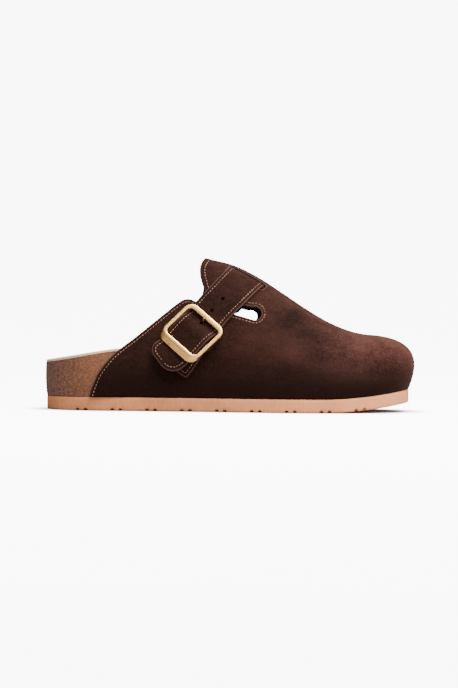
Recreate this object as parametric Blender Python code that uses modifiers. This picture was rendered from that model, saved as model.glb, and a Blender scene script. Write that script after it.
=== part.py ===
"""Right clog slipper: cork footbed on a foam outsole, open-backed suede upper, buckled instep strap.

Metres. +X runs from heel to toe, +Y to the inner (medial) side, +Z up. The origin lies on the
flat underside of the outsole, on the heel's centre line, at the middle of the sole's length.
"""

import math
from collections import namedtuple

import bmesh
import bpy
from mathutils import Matrix, Vector

# Sole
SOLE_LENGTH = 0.272
BALL_WIDTH = 0.101
OUTSOLE_THICKNESS = 0.010
OUTSOLE_EDGE = 0.0012
TOE_SPRING = 0.007
TOE_SPRING_START = 0.76
TOE_SPRING_BEND = 1.7
TREAD_DEPTH = 0.0018
TREAD_WIDTH = 0.0045
TREAD_PITCH = 0.0170
TREAD_WAVE = 0.0028

# Footbed and its lining
RIM_HEIGHT = 0.034
RIM_WIDTH = 0.0035
DISH_END = 0.028
LINING_THICKNESS = 0.0014

# Upper
INSTEP_HEIGHT = 0.0995
UPPER_WALL = 0.0020
KEYHOLE_WIDTH = 0.0100
SEAT_GAP = 0.0003

# Strap, its slit in the tongue, and the folded leather tab that holds the buckle
STRAP_WIDTH = 0.0285
STRAP_THICKNESS = 0.0022
STRAP_HOLE = 0.0030
STRAP_HOLE_PITCH = 0.0118
STRAP_TIP = 0.0340
STRAP_TIP_BACK_ROUND = 0.0070
STRAP_TIP_FRONT_ROUND = 0.0130
PRONG_HOLE_AT = 0.0101
PRONG_HOLE_LENGTH = 0.0050
FREE_HOLES = 2
SLIT_WIDTH = 0.0090
SLOT_WIDTH = 0.0050
SLOT_SHIFT = -0.0004
INNER_GAP = 0.0008
SLIT_MARGIN = 0.0015
TAB_LENGTH = 0.0290
TAB_LAYER = 0.0012
TAB_ROUND = 0.0050
TAB_SLOT = 0.0040

# Buckle
BUCKLE_BAR = 0.0038
BUCKLE_DEPTH = 0.0034
BUCKLE_REACH = 0.0345
BUCKLE_CORNER = 0.0072
BUCKLE_SIDE_GAP = 0.0008
BUCKLE_TILT = math.radians(9.0)
BUCKLE_ROLL = math.radians(-1.5)
BUCKLE_RISE = 0.0079
CENTRE_BAR_RADIUS = 0.0010
CENTRE_BAR_DROP = 0.0039
EAR_LENGTH = 0.0040
EAR_SHARE = 0.8
PRONG_RADIUS = 0.0007
PRONG_RISE = math.radians(58.0)
PRONG_DROP = 0.0005
# Strap and tab keep to the buckle's flat plane this near to it, and to the wall's curve further off
STRAIGHT_UP, CURVED_UP = 0.0090, 0.0170
STRAIGHT_DOWN, CURVED_DOWN = 0.0170, 0.0300

# Steps of the meshes, and how close vertices are welded
SOLE_STEPS = 36
SOLE_COLUMNS = 8
FOOTBED_LEVELS = 2
UPPER_FROM = 0.10
UPPER_COLUMNS = 30
UPPER_ROWS = 12
TOE_SECTORS = 16
KEYHOLE_STEPS = 9
BAND_COLUMNS = 5
STRAP_STEP = 0.0034
WIRE_SIDES = 10
CORNER_STEPS = 4
WELD = 0.00002

LATERAL, MEDIAL = -1, 1

# Widths are shares of the ball width, places shares of the sole's length.
Side = namedtuple("Side", "heel_at heel_width waist_at waist_width ball_at ball_width heel_curve toe_curve")
OUTLINE = {
    LATERAL: Side(0.165, 0.345, 0.40, 0.400, 0.665, 0.508, 2.1, 2.2),
    MEDIAL: Side(0.150, 0.335, 0.42, 0.345, 0.745, 0.492, 2.1, 2.5),
}
TOE_TIP_SHIFT = 0.075

# Crest heights are shares of the instep height above the outsole, shifts shares of the ball width.
# Flare is the lean of the wall at its foot in degrees, lift its handle as a share of the height,
# and crown the top's handle as a share of the half width.
Section = namedtuple("Section", "along crest shift flare lift crown inner_flare inner_lift inner_crown")
SECTIONS = (
    Section(0.000, 1.200, 0.000, 9.0, 0.36, 0.50, 9.0, 0.36, 0.50),
    Section(0.130, 1.200, 0.000, 7.0, 0.36, 0.50, 7.0, 0.36, 0.50),
    Section(0.300, 1.110, 0.030, 3.0, 0.31, 0.30, 3.0, 0.33, 0.36),
    Section(0.400, 1.030, 0.044, 2.0, 0.28, 0.36, 2.0, 0.32, 0.46),
    Section(0.445, 0.994, 0.050, 2.0, 0.28, 0.52, 2.0, 0.32, 0.60),
    Section(0.511, 0.947, 0.056, 2.0, 0.28, 0.64, 2.0, 0.32, 0.70),
    Section(0.578, 0.859, 0.060, 3.0, 0.29, 0.67, 3.0, 0.33, 0.73),
    Section(0.644, 0.745, 0.062, 5.0, 0.32, 0.69, 4.0, 0.34, 0.75),
    Section(0.711, 0.628, 0.062, 8.0, 0.34, 0.71, 6.0, 0.35, 0.77),
    Section(0.778, 0.527, 0.062, 12.0, 0.36, 0.75, 10.0, 0.37, 0.80),
    Section(0.844, 0.464, 0.064, 15.0, 0.38, 0.83, 15.0, 0.38, 0.87),
    Section(0.880, 0.446, 0.066, 17.0, 0.38, 0.90, 17.0, 0.38, 0.94),
    Section(1.000, 0.430, 0.066, 19.7, 0.375, 1.47, 19.7, 0.375, 1.47),
)
HEEL_POLE, TOE_POLE = 0.130, 0.880
TOE_POLE_SLOPE = -0.04
# The last stands in from the sole's edge where the upper covers it, and flush with it at the heel.
LAST_INSET_FROM, LAST_INSET_TO = 0.08, 0.25

# Heights of the footbed's rims and of its middle, as shares of the rim height, and the dish's curve.
Bed = namedtuple("Bed", "along lateral_rim medial_rim middle curve")
FOOTBED = (
    Bed(0.00, 0.735, 0.735, 0.46, 3.4),
    Bed(0.07, 0.835, 0.835, 0.38, 3.6),
    Bed(0.13, 0.930, 0.940, 0.36, 3.6),
    Bed(0.19, 1.000, 1.020, 0.38, 3.6),
    Bed(0.30, 0.900, 1.020, 0.46, 3.2),
    Bed(0.42, 0.720, 0.920, 0.50, 2.8),
    Bed(0.55, 0.560, 0.640, 0.38, 3.0),
    Bed(0.70, 0.440, 0.470, 0.26, 3.4),
    Bed(0.85, 0.400, 0.400, 0.25, 3.6),
    Bed(1.00, 0.400, 0.400, 0.27, 3.6),
)

# The upper's edge from the side: places as shares of the sole's length, heights as shares of the
# instep height above the outsole. Back edge and collar, up to the rounded top of the quarter.
Edge = namedtuple("Edge", "along height")
COLLAR = (
    Edge(0.120, -0.060),
    Edge(0.121, 0.020),
    Edge(0.129, 0.090),
    Edge(0.148, 0.200),
    Edge(0.186, 0.325),
    Edge(0.248, 0.460),
    Edge(0.311, 0.602),
    Edge(0.361, 0.712),
    Edge(0.378, 0.738),
    Edge(0.397, 0.738),
    Edge(0.422, 0.702),
)
# The tongue's free end, from the slot up to the crest.
TONGUE = (
    Edge(0.4475, 0.756),
    Edge(0.4380, 0.792),
    Edge(0.4270, 0.862),
    Edge(0.4220, 0.936),
    Edge(0.4270, 0.992),
    Edge(0.4400, 1.030),
)
KEYHOLE = Edge(0.5720, 0.640)
SLOT_MOUTH = Edge(0.4350, 0.734)

# The strap's middle line from the side, from its tip to the crest of the instep.
STRAP_LINE = (
    Edge(0.3050, 0.225),
    Edge(0.3610, 0.360),
    Edge(0.4030, 0.482),
    Edge(0.4530, 0.638),
    Edge(0.5030, 0.770),
)
STRAP_CREST = 0.5620
BUCKLE_AT = 0.4030
SLIT_FROM_CREST = 0.0135
# How high the strap's underside lies over the upper: distance from the buckle, along the strap.
Place = namedtuple("Place", "along x")
Ride = namedtuple("Ride", "along lift")
STRAP_RIDE = (
    Ride(-0.0340, 0.0048),
    Ride(-0.0240, 0.0054),
    Ride(-0.0150, 0.0059),
    Ride(-0.0050, 0.0067),
    Ride(0.0000, 0.0070),
    Ride(0.0040, 0.0062),
    Ride(0.0080, 0.0040),
    Ride(0.0115, 0.0019),
    Ride(0.0150, 0.0006),
    Ride(0.0200, 0.0003),
)


def smooth(rows, column, along):
    """Value of a table's column at a place, on a smooth curve through the table's rows."""
    places = [row.along for row in rows]
    values = [getattr(row, column) for row in rows]
    if along <= places[0]:
        return values[0]
    if along >= places[-1]:
        return values[-1]
    i = max(k for k in range(len(rows) - 1) if places[k] <= along)
    secants = [
        (values[k + 1] - values[k]) / (places[k + 1] - places[k]) for k in range(len(rows) - 1)
    ]

    def slope(k):
        """Slope of the curve at row k, from the rows on both sides of it."""
        if k == 0 or k == len(rows) - 1:
            return secants[min(k, len(secants) - 1)]
        before, after = places[k] - places[k - 1], places[k + 1] - places[k]
        return (secants[k - 1] * after + secants[k] * before) / (before + after)

    span = places[i + 1] - places[i]
    return hermite(values[i], slope(i) * span, values[i + 1], slope(i + 1) * span, (along - places[i]) / span)


def hermite(start, start_slope, end, end_slope, t):
    """Cubic from start to end with given slopes, at t from 0 to 1."""
    return (
        start * (2 * t**3 - 3 * t**2 + 1)
        + start_slope * (t**3 - 2 * t**2 + t)
        + end * (3 * t**2 - 2 * t**3)
        + end_slope * (t**3 - t**2)
    )


def ease(t):
    """Smooth step from 0 to 1."""
    t = min(max(t, 0.0), 1.0)
    return t * t * (3 - 2 * t)


def outline_y(side, x):
    """The sole's edge on one side, at distance x from the back of the heel."""
    shape = OUTLINE[side]
    along = min(max(x / SOLE_LENGTH, 0.0), 1.0)
    heel, waist, ball = (side * BALL_WIDTH * w for w in (shape.heel_width, shape.waist_width, shape.ball_width))
    if along < shape.heel_at:
        back = 1 - along / shape.heel_at
        return heel * (1 - back**shape.heel_curve) ** (1 / shape.heel_curve)
    if along > shape.ball_at:
        tip = TOE_TIP_SHIFT * BALL_WIDTH
        front = (along - shape.ball_at) / (1 - shape.ball_at)
        return tip + (ball - tip) * (1 - front**shape.toe_curve) ** (1 / shape.toe_curve)
    behind, ahead = shape.waist_at - shape.heel_at, shape.ball_at - shape.waist_at
    fall, climb = (waist - heel) / behind, (ball - waist) / ahead
    slope = 0.0 if fall * climb < 0 else (fall * ahead + climb * behind) / (behind + ahead)
    if along < shape.waist_at:
        return hermite(heel, 0.0, waist, slope * behind, (along - shape.heel_at) / behind)
    return hermite(waist, slope * ahead, ball, 0.0, (along - shape.waist_at) / ahead)


def spring(x):
    """How far the toe spring lifts the sole off the ground."""
    rise = (x / SOLE_LENGTH - TOE_SPRING_START) / (1 - TOE_SPRING_START)
    return TOE_SPRING * max(rise, 0.0) ** TOE_SPRING_BEND


def feather(x):
    """Height of the line where upper and footbed meet the outsole, with the seating gap."""
    return OUTSOLE_THICKNESS + SEAT_GAP + spring(x)


def crest(x):
    """Point of the last's highest line."""
    along = x / SOLE_LENGTH
    shift = smooth(SECTIONS, "shift", along) * BALL_WIDTH
    return Vector((x, shift, OUTSOLE_THICKNESS + smooth(SECTIONS, "crest", along) * INSTEP_HEIGHT))


def station(turn):
    """Side and x of a place on the outline: turn 0 is the heel, 1 the toe, and 1 to 2 the way back."""
    turn %= 2
    side, share = (LATERAL, turn) if turn <= 1 else (MEDIAL, 2 - turn)
    return side, SOLE_LENGTH * (1 - math.cos(math.pi * share)) / 2


def turn_at(side, x):
    """The place on the outline that station() gives this side and x for."""
    share = math.acos(1 - 2 * x / SOLE_LENGTH) / math.pi
    return share if side == LATERAL else 2 - share


def skin(turn, rise):
    """Point on the last: rise 0 is at the outsole and 1 at the crest, in a plane square to the outline."""
    side, x = station(turn)
    along = x / SOLE_LENGTH
    top = crest(SOLE_LENGTH * min(max(along, HEEL_POLE), TOE_POLE))
    edge = Vector((x, outline_y(side, x), feather(x)))
    out = Vector((edge.x - top.x, edge.y - top.y, 0.0)).normalized()
    covered = ease((along - LAST_INSET_FROM) / (LAST_INSET_TO - LAST_INSET_FROM))
    foot = edge - out * (UPPER_WALL + SEAT_GAP) * covered
    reach = math.hypot(foot.x - top.x, foot.y - top.y)
    prefix = "" if side == LATERAL else "inner_"
    flare = math.radians(smooth(SECTIONS, prefix + "flare", along))
    lift = smooth(SECTIONS, prefix + "lift", along) * (top.z - foot.z)
    crown = smooth(SECTIONS, prefix + "crown", along) * reach
    low = foot + lift * (out * math.sin(flare) + Vector((0, 0, math.cos(flare))))
    high = top + crown * (out + Vector((0, 0, out.x * TOE_POLE_SLOPE if along > TOE_POLE else 0.0)))
    return (
        foot * (1 - rise) ** 3
        + low * 3 * rise * (1 - rise) ** 2
        + high * 3 * rise**2 * (1 - rise)
        + top * rise**3
    )


def skin_normal(turn, rise):
    """The last's outward direction."""
    step = 0.004
    level = min(rise, 0.96)
    around = skin(turn + step, level) - skin(turn - step, level)
    upward = skin(turn, min(rise + step, 1.0)) - skin(turn, max(rise - step, 0.0))
    return around.cross(upward).normalized()


def cover(turn, rise, lift):
    """Point at a height above the last's surface."""
    return skin(turn, rise) + lift * skin_normal(turn, rise)


def rise_at(side, x, z):
    """The rise at which the last's section through x reaches height z."""
    turn, low, high = turn_at(side, x), 0.0, 1.0
    for _ in range(24):
        middle = (low + high) / 2
        low, high = (middle, high) if skin(turn, middle).z < z else (low, middle)
    return (low + high) / 2


def bed_height(x, column):
    """Height of a footbed table column above the ground."""
    return OUTSOLE_THICKNESS + spring(x) + RIM_HEIGHT * smooth(FOOTBED, column, x / SOLE_LENGTH)


def rim_point(side, x, lift):
    """Point on the footbed's rim, or a little above it, on the last's surface."""
    column = "lateral_rim" if side == LATERAL else "medial_rim"
    height = bed_height(x, column) + lift
    return skin(turn_at(side, x), rise_at(side, x, height))


def dish_row(x, lift):
    """Points across the footbed's dished top from the outer rim to the inner one."""
    outer, inner = (rim_point(side, x, lift) for side in (LATERAL, MEDIAL))
    half = (inner - outer).length / 2
    flat = min(RIM_WIDTH / half, 0.5) if half > 1e-6 else 0.5
    floor = bed_height(x, "middle") + lift
    curve = smooth(FOOTBED, "curve", x / SOLE_LENGTH)
    near_end = min(x, SOLE_LENGTH - x) - RIM_WIDTH
    end = min(max(1 - near_end / DISH_END, 0.0), 1.0)
    row = []
    for share in (-1, None, -0.9, -0.72, -0.45, 0, 0.45, 0.72, 0.9, None, 1):
        inside = (1 - flat) * (share if share is not None else math.copysign(1, len(row) - 5))
        across = share if share in (-1, 1) else inside
        point = outer.lerp(inner, (across + 1) / 2)
        wall = min(abs(across) / (1 - flat), 1.0) ** curve
        point.z -= (point.z - floor) * (1 - wall) * (1 - end**3)
        row.append(point)
    return row


def new_object(name, vertices, faces, group, material=None):
    """Mesh object with welded vertices and faces turned outward, linked to a collection."""
    mesh = bpy.data.meshes.new(name)
    work = bmesh.new()
    made = [work.verts.new(point) for point in vertices]
    for face in faces:
        corners = list(dict.fromkeys(face))
        if len(corners) > 2:
            work.faces.new([made[k] for k in corners])
    bmesh.ops.remove_doubles(work, verts=work.verts, dist=WELD)
    bmesh.ops.dissolve_degenerate(work, edges=work.edges, dist=WELD)
    bmesh.ops.recalc_face_normals(work, faces=work.faces)
    work.to_mesh(mesh)
    work.free()
    item = bpy.data.objects.new(name, mesh)
    group.objects.link(item)
    if material:
        mesh.materials.append(material)
    return item


def grid_faces(rows, columns, start=0, closed=False):
    """Quads of a grid of vertices laid out row by row, the last row joined to the first if closed."""
    quads = []
    for i in range(rows if closed else rows - 1):
        for j in range(columns - 1):
            a, b = start + i * columns + j, start + (i + 1) % rows * columns + j
            quads.append((a, b, b + 1, a + 1))
    return quads


def closed_shell(name, bottom, walls, top, group, material):
    """Solid from a bottom cap, side rings and a top cap, all in rows of points from side to side.

    Every cap row runs from the outer edge to the inner edge. A ring is a list of (outer, inner)
    points, one pair per row.
    """
    vertices, faces = [], []

    def cap(rows):
        """Add a cap's grid and return its first vertex."""
        start = len(vertices)
        for row in rows:
            vertices.extend(row)
        faces.extend(grid_faces(len(rows), len(rows[0]), start))
        return start

    rings = [[(row[0], row[-1]) for row in bottom], *walls, [(row[0], row[-1]) for row in top]]
    cap(bottom)
    cap(top)
    for low, high in zip(rings, rings[1:]):
        for side in (0, 1):
            start = len(vertices)
            for k in range(len(low)):
                vertices.extend((low[k][side], high[k][side]))
            faces.extend(grid_faces(len(low), 2, start))
    return new_object(name, vertices, faces, group, material)


def sole_stations():
    """Distances from the heel, evenly round the outline and at every tread groove, with the lifts."""
    grooved = {}
    grooves = int(SOLE_LENGTH / TREAD_PITCH / 2) - 1
    for k in range(-grooves, grooves):
        middle = SOLE_LENGTH / 2 + (k + 0.5) * TREAD_PITCH
        for shift, depth in ((-0.5, 0.0), (-0.25, 1.0), (0.25, 1.0), (0.5, 0.0)):
            grooved[middle + shift * TREAD_WIDTH] = depth * TREAD_DEPTH
    stations = dict(grooved)
    for k in range(SOLE_STEPS + 1):
        x = station(k / SOLE_STEPS)[1]
        if all(abs(x - place) > TREAD_WIDTH / 2 for place in grooved):
            stations[x] = 0.0
    return sorted(stations.items())


def outline_point(side, x, inset, z):
    """Point on the sole's outline, or inside it, at a height."""
    step = 0.0005
    behind, ahead = max(x - step, 0.0), min(x + step, SOLE_LENGTH)
    slope = (outline_y(side, ahead) - outline_y(side, behind)) / (ahead - behind)
    if x <= 0.0 or x >= SOLE_LENGTH:
        return Vector((x + (inset if x <= 0.0 else -inset), outline_y(side, x), z))
    inward = Vector((slope * side, -1.0 * side, 0.0)).normalized() if slope else Vector((0, -side, 0))
    return Vector((x, outline_y(side, x), z)) + inset * inward


def make_outsole(group, material):
    """Foam outsole: true outline, toe spring, chamfered edge and wavy grooves that run out at the sides."""
    bottom, low_ring, high_ring, top = [], [], [], []
    for x, depth in sole_stations():
        under = spring(x) + depth
        calm = min(x, SOLE_LENGTH - x, TREAD_PITCH) / TREAD_PITCH
        outer, inner = (outline_point(side, x, OUTSOLE_EDGE, under) for side in (LATERAL, MEDIAL))
        row = []
        for k in range(SOLE_COLUMNS + 1):
            point = outer.lerp(inner, k / SOLE_COLUMNS)
            point.x += TREAD_WAVE * calm * math.sin(k * math.pi / 2)
            row.append(point)
        bottom.append(row)
        edge = [outline_point(side, x, 0.0, under + OUTSOLE_EDGE) for side in (LATERAL, MEDIAL)]
        low_ring.append(tuple(edge))
        upper_edge = [Vector((p.x, p.y, OUTSOLE_THICKNESS + spring(x))) for p in edge]
        high_ring.append(tuple(upper_edge))
        top.append([upper_edge[0], (upper_edge[0] + upper_edge[1]) / 2, upper_edge[1]])
    return closed_shell("outsole", bottom, [low_ring], top, group, material)


def make_footbed(group, material):
    """Cork footbed with a deep heel cup, raised arch side and a low forefoot."""
    bottom, walls, top = [], [[] for _ in range(FOOTBED_LEVELS)], []
    for k in range(SOLE_STEPS + 1):
        x = station(k / SOLE_STEPS)[1]
        row = dish_row(x, 0.0)
        foot = [skin(turn_at(side, x), 0.0) for side in (LATERAL, MEDIAL)]
        bottom.append([foot[0], foot[0].lerp(foot[1], 0.5), foot[1]])
        top.append(row)
        for level in range(FOOTBED_LEVELS):
            share = (level + 1) / (FOOTBED_LEVELS + 1)
            pair = []
            for side, rim in ((LATERAL, row[0]), (MEDIAL, row[-1])):
                pair.append(skin(turn_at(side, x), share * rise_at(side, x, rim.z)))
            walls[level].append(tuple(pair))
    return closed_shell("footbed", bottom, walls, top, group, material)


def make_insole(group, material):
    """Lining that lies over the footbed's dish out to its rim."""
    low, high = [], []
    rows = [dish_row(station(k / SOLE_STEPS)[1], 0.0) for k in range(SOLE_STEPS + 1)]
    for k, row in enumerate(rows):
        x = station(k / SOLE_STEPS)[1]
        ahead, behind = rows[min(k + 1, SOLE_STEPS)], rows[max(k - 1, 0)]
        for made, lift in ((low, SEAT_GAP), (high, SEAT_GAP + LINING_THICKNESS)):
            line = [rim_point(LATERAL, x, lift)]
            for j in range(1, len(row) - 1):
                along, across = ahead[j] - behind[j], row[j + 1] - row[j - 1]
                normal = along.cross(across)
                up = normal.normalized() if normal.length > 1e-12 and 0 < k < SOLE_STEPS else Vector((0, 0, 1))
                line.append(row[j] + lift * up)
            line.append(rim_point(MEDIAL, x, lift))
            if k in (0, SOLE_STEPS):
                line = [line[0]] * len(line)
            made.append(line)
    return closed_shell("insole", low, [], high, group, material)


def side_point(edge):
    """A place of a side-view table as x and z."""
    return edge.along * SOLE_LENGTH, OUTSOLE_THICKNESS + edge.height * INSTEP_HEIGHT


def prism(name, points, group):
    """Cutter from a side-view polygon, drawn right through the shoe from side to side."""
    count, reach = len(points), BALL_WIDTH
    vertices = [Vector((x, y, z)) for y in (-reach, reach) for x, z in points]
    faces = [tuple(range(count)), tuple(range(2 * count - 1, count - 1, -1))]
    faces += [(k, (k + 1) % count, count + (k + 1) % count, count + k) for k in range(count)]
    return new_object(name, vertices, faces, group)


def opening_outline():
    """Side-view polygon of what is cut away: behind the collar, the slot with its keyhole, the tongue's end."""
    points = [side_point(edge) for edge in COLLAR]
    middle, radius = side_point(KEYHOLE), KEYHOLE_WIDTH / 2
    for k in range(KEYHOLE_STEPS + 1):
        turn = -math.pi * 0.62 + 1.24 * math.pi * k / KEYHOLE_STEPS
        points.append((middle[0] + radius * math.cos(turn), middle[1] + radius * math.sin(turn)))
    points += [side_point(edge) for edge in TONGUE]
    high, back = 2 * INSTEP_HEIGHT, -SOLE_LENGTH / 4
    points += [(points[-1][0], high), (back, high), (back, points[0][1])]
    return points


def cut(item, cutter):
    """Boolean difference, applied."""
    step = item.modifiers.new("cut", "BOOLEAN")
    step.operation = "DIFFERENCE"
    step.solver = "EXACT"
    step.object = cutter
    apply_modifiers(item)


def join(item, other):
    """Boolean union, applied."""
    step = item.modifiers.new("join", "BOOLEAN")
    step.operation = "UNION"
    step.solver = "EXACT"
    step.object = other
    apply_modifiers(item)
    bpy.data.objects.remove(other)


def thicken(item, thickness, offset):
    """Solidify, applied: offset -1 grows against the normals and 0 to both sides."""
    step = item.modifiers.new("wall", "SOLIDIFY")
    step.thickness = thickness
    step.offset = offset
    step.use_even_offset = True
    apply_modifiers(item)


def apply_modifiers(item):
    """Bake an object's modifiers into its mesh and weld what they leave close together."""
    bpy.context.view_layer.update()
    graph = bpy.context.evaluated_depsgraph_get()
    baked = bpy.data.meshes.new_from_object(item.evaluated_get(graph))
    item.modifiers.clear()
    item.data = baked
    work = bmesh.new()
    work.from_mesh(baked)
    bmesh.ops.remove_doubles(work, verts=work.verts, dist=WELD)
    bmesh.ops.dissolve_degenerate(work, edges=work.edges, dist=WELD)
    bmesh.ops.triangulate(work, faces=work.faces)
    work.to_mesh(baked)
    work.free()


def first_rise(turn, lift):
    """The rise at which a raised surface stands level with the outsole's top."""
    side, x = station(turn)
    low, high = 0.0, 0.3
    for _ in range(20):
        middle = (low + high) / 2
        low, high = (middle, high) if cover(turn, middle, lift).z < feather(x) else (low, middle)
    return (low + high) / 2


def make_upper(group, cutters, material):
    """Hollow upper: a walled sheet over the last, opened at collar, slot and slit."""
    lift = SEAT_GAP + UPPER_WALL
    vertices, faces = [], []

    def column(turn):
        """Points of one section from the outsole up to the crest."""
        first = first_rise(turn, lift)
        return [cover(turn, first + (1 - first) * k / UPPER_ROWS, lift) for k in range(UPPER_ROWS + 1)]

    start_x, pole_x = UPPER_FROM * SOLE_LENGTH, TOE_POLE * SOLE_LENGTH
    for k in range(UPPER_COLUMNS + 1):
        x = start_x + (pole_x - start_x) * k / UPPER_COLUMNS
        outer, inner = column(turn_at(LATERAL, x)), column(turn_at(MEDIAL, x))
        ridge = (outer[-1] + inner[-1]) / 2
        vertices.extend([*outer[:-1], ridge, *reversed(inner[:-1])])
    width = 2 * UPPER_ROWS + 1
    faces.extend(grid_faces(UPPER_COLUMNS + 1, width))
    start = len(vertices)
    first, last = turn_at(LATERAL, pole_x), turn_at(MEDIAL, pole_x)
    pole = vertices[-1 - UPPER_ROWS]
    for k in range(TOE_SECTORS + 1):
        points = column(first + (last - first) * k / TOE_SECTORS)
        vertices.extend([*points[:-1], pole])
    faces.extend(grid_faces(TOE_SECTORS + 1, UPPER_ROWS + 1, start))
    item = new_object("upper", vertices, faces, group, material)
    if sum(face.normal.z * face.area for face in item.data.polygons) < 0:
        item.data.flip_normals()
    thicken(item, UPPER_WALL, -1)
    cut(item, prism("opening_cutter", opening_outline(), cutters))
    cut(item, slit_cutter(cutters))
    return item


def strap_rows():
    """The strap's middle line as places on the last, from its tip over the crest to its sewn end."""
    rows = []
    for edge in STRAP_LINE:
        x, z = side_point(edge)
        rows.append(Place(rise_at(LATERAL, x, z) - 1, x))
    rows.append(Place(0.0, STRAP_CREST * SOLE_LENGTH))
    for edge in reversed(STRAP_LINE):
        x, z = side_point(edge)
        if edge.along >= BUCKLE_AT - 0.001:
            rows.append(Place(1 - rise_at(MEDIAL, x, z), x))
    return rows


def on_last(x, turned):
    """Point of the last where turned runs from -1 at the outer foot over 0 on the crest to 1."""
    side = LATERAL if turned < 0 else MEDIAL
    return skin(turn_at(side, x), 1 - abs(turned))


def last_frame(x, turned):
    """The last's point and outward normal, and its two surface directions."""
    step = 0.0005
    ahead = (on_last(x + step, turned) - on_last(x - step, turned)) / (2 * step)
    step = 0.002
    over = (on_last(x, turned + step) - on_last(x, turned - step)) / (2 * step)
    return on_last(x, turned), ahead.cross(over).normalized(), ahead, over


def nearest(point, x, turned):
    """Foot of a point on the last, from a first guess."""
    for _ in range(6):
        base, _, ahead, over = last_frame(x, turned)
        gap = point - base
        a, b, c = ahead.dot(ahead), ahead.dot(over), over.dot(over)
        d, e = gap.dot(ahead), gap.dot(over)
        scale = a * c - b * b
        x += (d * c - e * b) / scale
        turned += (e * a - d * b) / scale
    return x, turned


class StrapField:
    """Places near the strap: distance along it from the buckle, across it, and height above the last."""

    def __init__(self):
        """Trace the strap's middle line over the last and measure it from the buckle."""
        rows = strap_rows()
        steps, start, end = 400, rows[0].along - 0.02, rows[-1].along + 0.01
        self.line = []
        total, last = 0.0, None
        for k in range(steps + 1):
            turned = start + (end - start) * k / steps
            x = smooth(rows, "x", turned)
            point = on_last(x, turned)
            total += (point - last).length if last else 0.0
            last = point
            self.line.append((total, x, turned))
        buckle = -1 + rise_at(LATERAL, *side_point(STRAP_LINE[2]))
        zero = min(self.line, key=lambda entry: abs(entry[2] - buckle))[0]
        self.line = [(far - zero, x, turned) for far, x, turned in self.line]
        self.crest = min(self.line, key=lambda entry: abs(entry[2]))[0]
        self.end = min(self.line, key=lambda entry: abs(entry[2] - rows[-1].along))[0]

    def middle(self, far):
        """Place on the middle line at a distance from the buckle."""
        pairs = zip(self.line, self.line[1:])
        low, high = next((p for p in pairs if p[1][0] >= far), self.line[-2:])
        share = (far - low[0]) / (high[0] - low[0])
        return low[1] + (high[1] - low[1]) * share, low[2] + (high[2] - low[2]) * share

    def frame(self, far):
        """Point on the middle line with the directions along, across and out."""
        x, turned = self.middle(far)
        base, out, _, _ = last_frame(x, turned)
        ahead = on_last(*self.middle(far + 0.001)) - on_last(*self.middle(far - 0.001))
        ahead = (ahead - out * ahead.dot(out)).normalized()
        return base, ahead, out.cross(ahead), out

    def buckle_frame(self):
        """The flat plane that the buckle lies in: the wall's own, rolled a little about the strap."""
        base, ahead, across, out = self.frame(0.0)
        cos, sin = math.cos(BUCKLE_ROLL), math.sin(BUCKLE_ROLL)
        return base, ahead, across * cos + out * sin, out * cos - across * sin

    def place(self, far, side, height, straight=None):
        """Point at a distance along, a distance across and a height above the last.

        straight from 0 to 1 overrides how far the point keeps to the buckle's plane.
        """
        base, _, across, _ = self.frame(far)
        x, turned = nearest(base + side * across, *self.middle(far))
        foot, lean, _, _ = last_frame(x, turned)
        near, away = (STRAIGHT_UP, CURVED_UP) if far > 0 else (STRAIGHT_DOWN, CURVED_DOWN)
        follow = ease((abs(far) - near) / (away - near))
        if straight is not None:
            follow = 1 - straight
        if follow == 1:
            return foot + height * lean
        seat, ahead, level, up = self.buckle_frame()
        return (seat + far * ahead + side * level + height * up).lerp(foot + height * lean, follow)


def rounded_half(far, ends, rounds):
    """Where a strip's edge stands on one side, pulled in at its rounded ends."""
    pull = 0.0
    for end, radius in zip(ends, rounds):
        depth = abs(far - end)
        if depth < radius:
            pull = max(pull, radius - math.sqrt(max(radius**2 - (radius - depth) ** 2, 0.0)))
    return STRAP_WIDTH / 2 - pull


def make_band(name, field, path, rounds, group, material):
    """Strip that follows the strap's field: path gives distance and height, rounds the end corners."""
    vertices = []
    ends = (path[0][0], path[-1][0])
    for far, height in path:
        low = -rounded_half(far, ends, rounds[0])
        high = rounded_half(far, ends, rounds[1])
        for k in range(BAND_COLUMNS + 1):
            side = low + (high - low) * k / BAND_COLUMNS
            lift, straight = height(side) if callable(height) else height
            vertices.append(field.place(far, side, lift, straight))
    return new_object(name, vertices, grid_faces(len(path), BAND_COLUMNS + 1), group, material)


def strap_height(field, far, side):
    """Height of the strap's middle above the last: over the quarter, through the slit, out at the slot."""
    ride = smooth(STRAP_RIDE, "lift", far)
    outside = SEAT_GAP + UPPER_WALL + ride + STRAP_THICKNESS / 2
    inside = SEAT_GAP - INNER_GAP - STRAP_THICKNESS / 2
    slit = field.crest - SLIT_FROM_CREST
    if far < field.crest:
        return outside + (inside - outside) * ease((far - slit) / SLIT_WIDTH + 0.5)
    point = field.place(far, side, (outside + inside) / 2)
    mouth, keyhole = side_point(SLOT_MOUTH), side_point(KEYHOLE)
    run, fall = keyhole[0] - mouth[0], keyhole[1] - mouth[1]
    above = ((point.z - mouth[1]) * run - (point.x - mouth[0]) * fall) / math.hypot(run, fall)
    return outside + (inside - outside) * ease((above + SLOT_SHIFT) / SLOT_WIDTH + 0.5)


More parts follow.
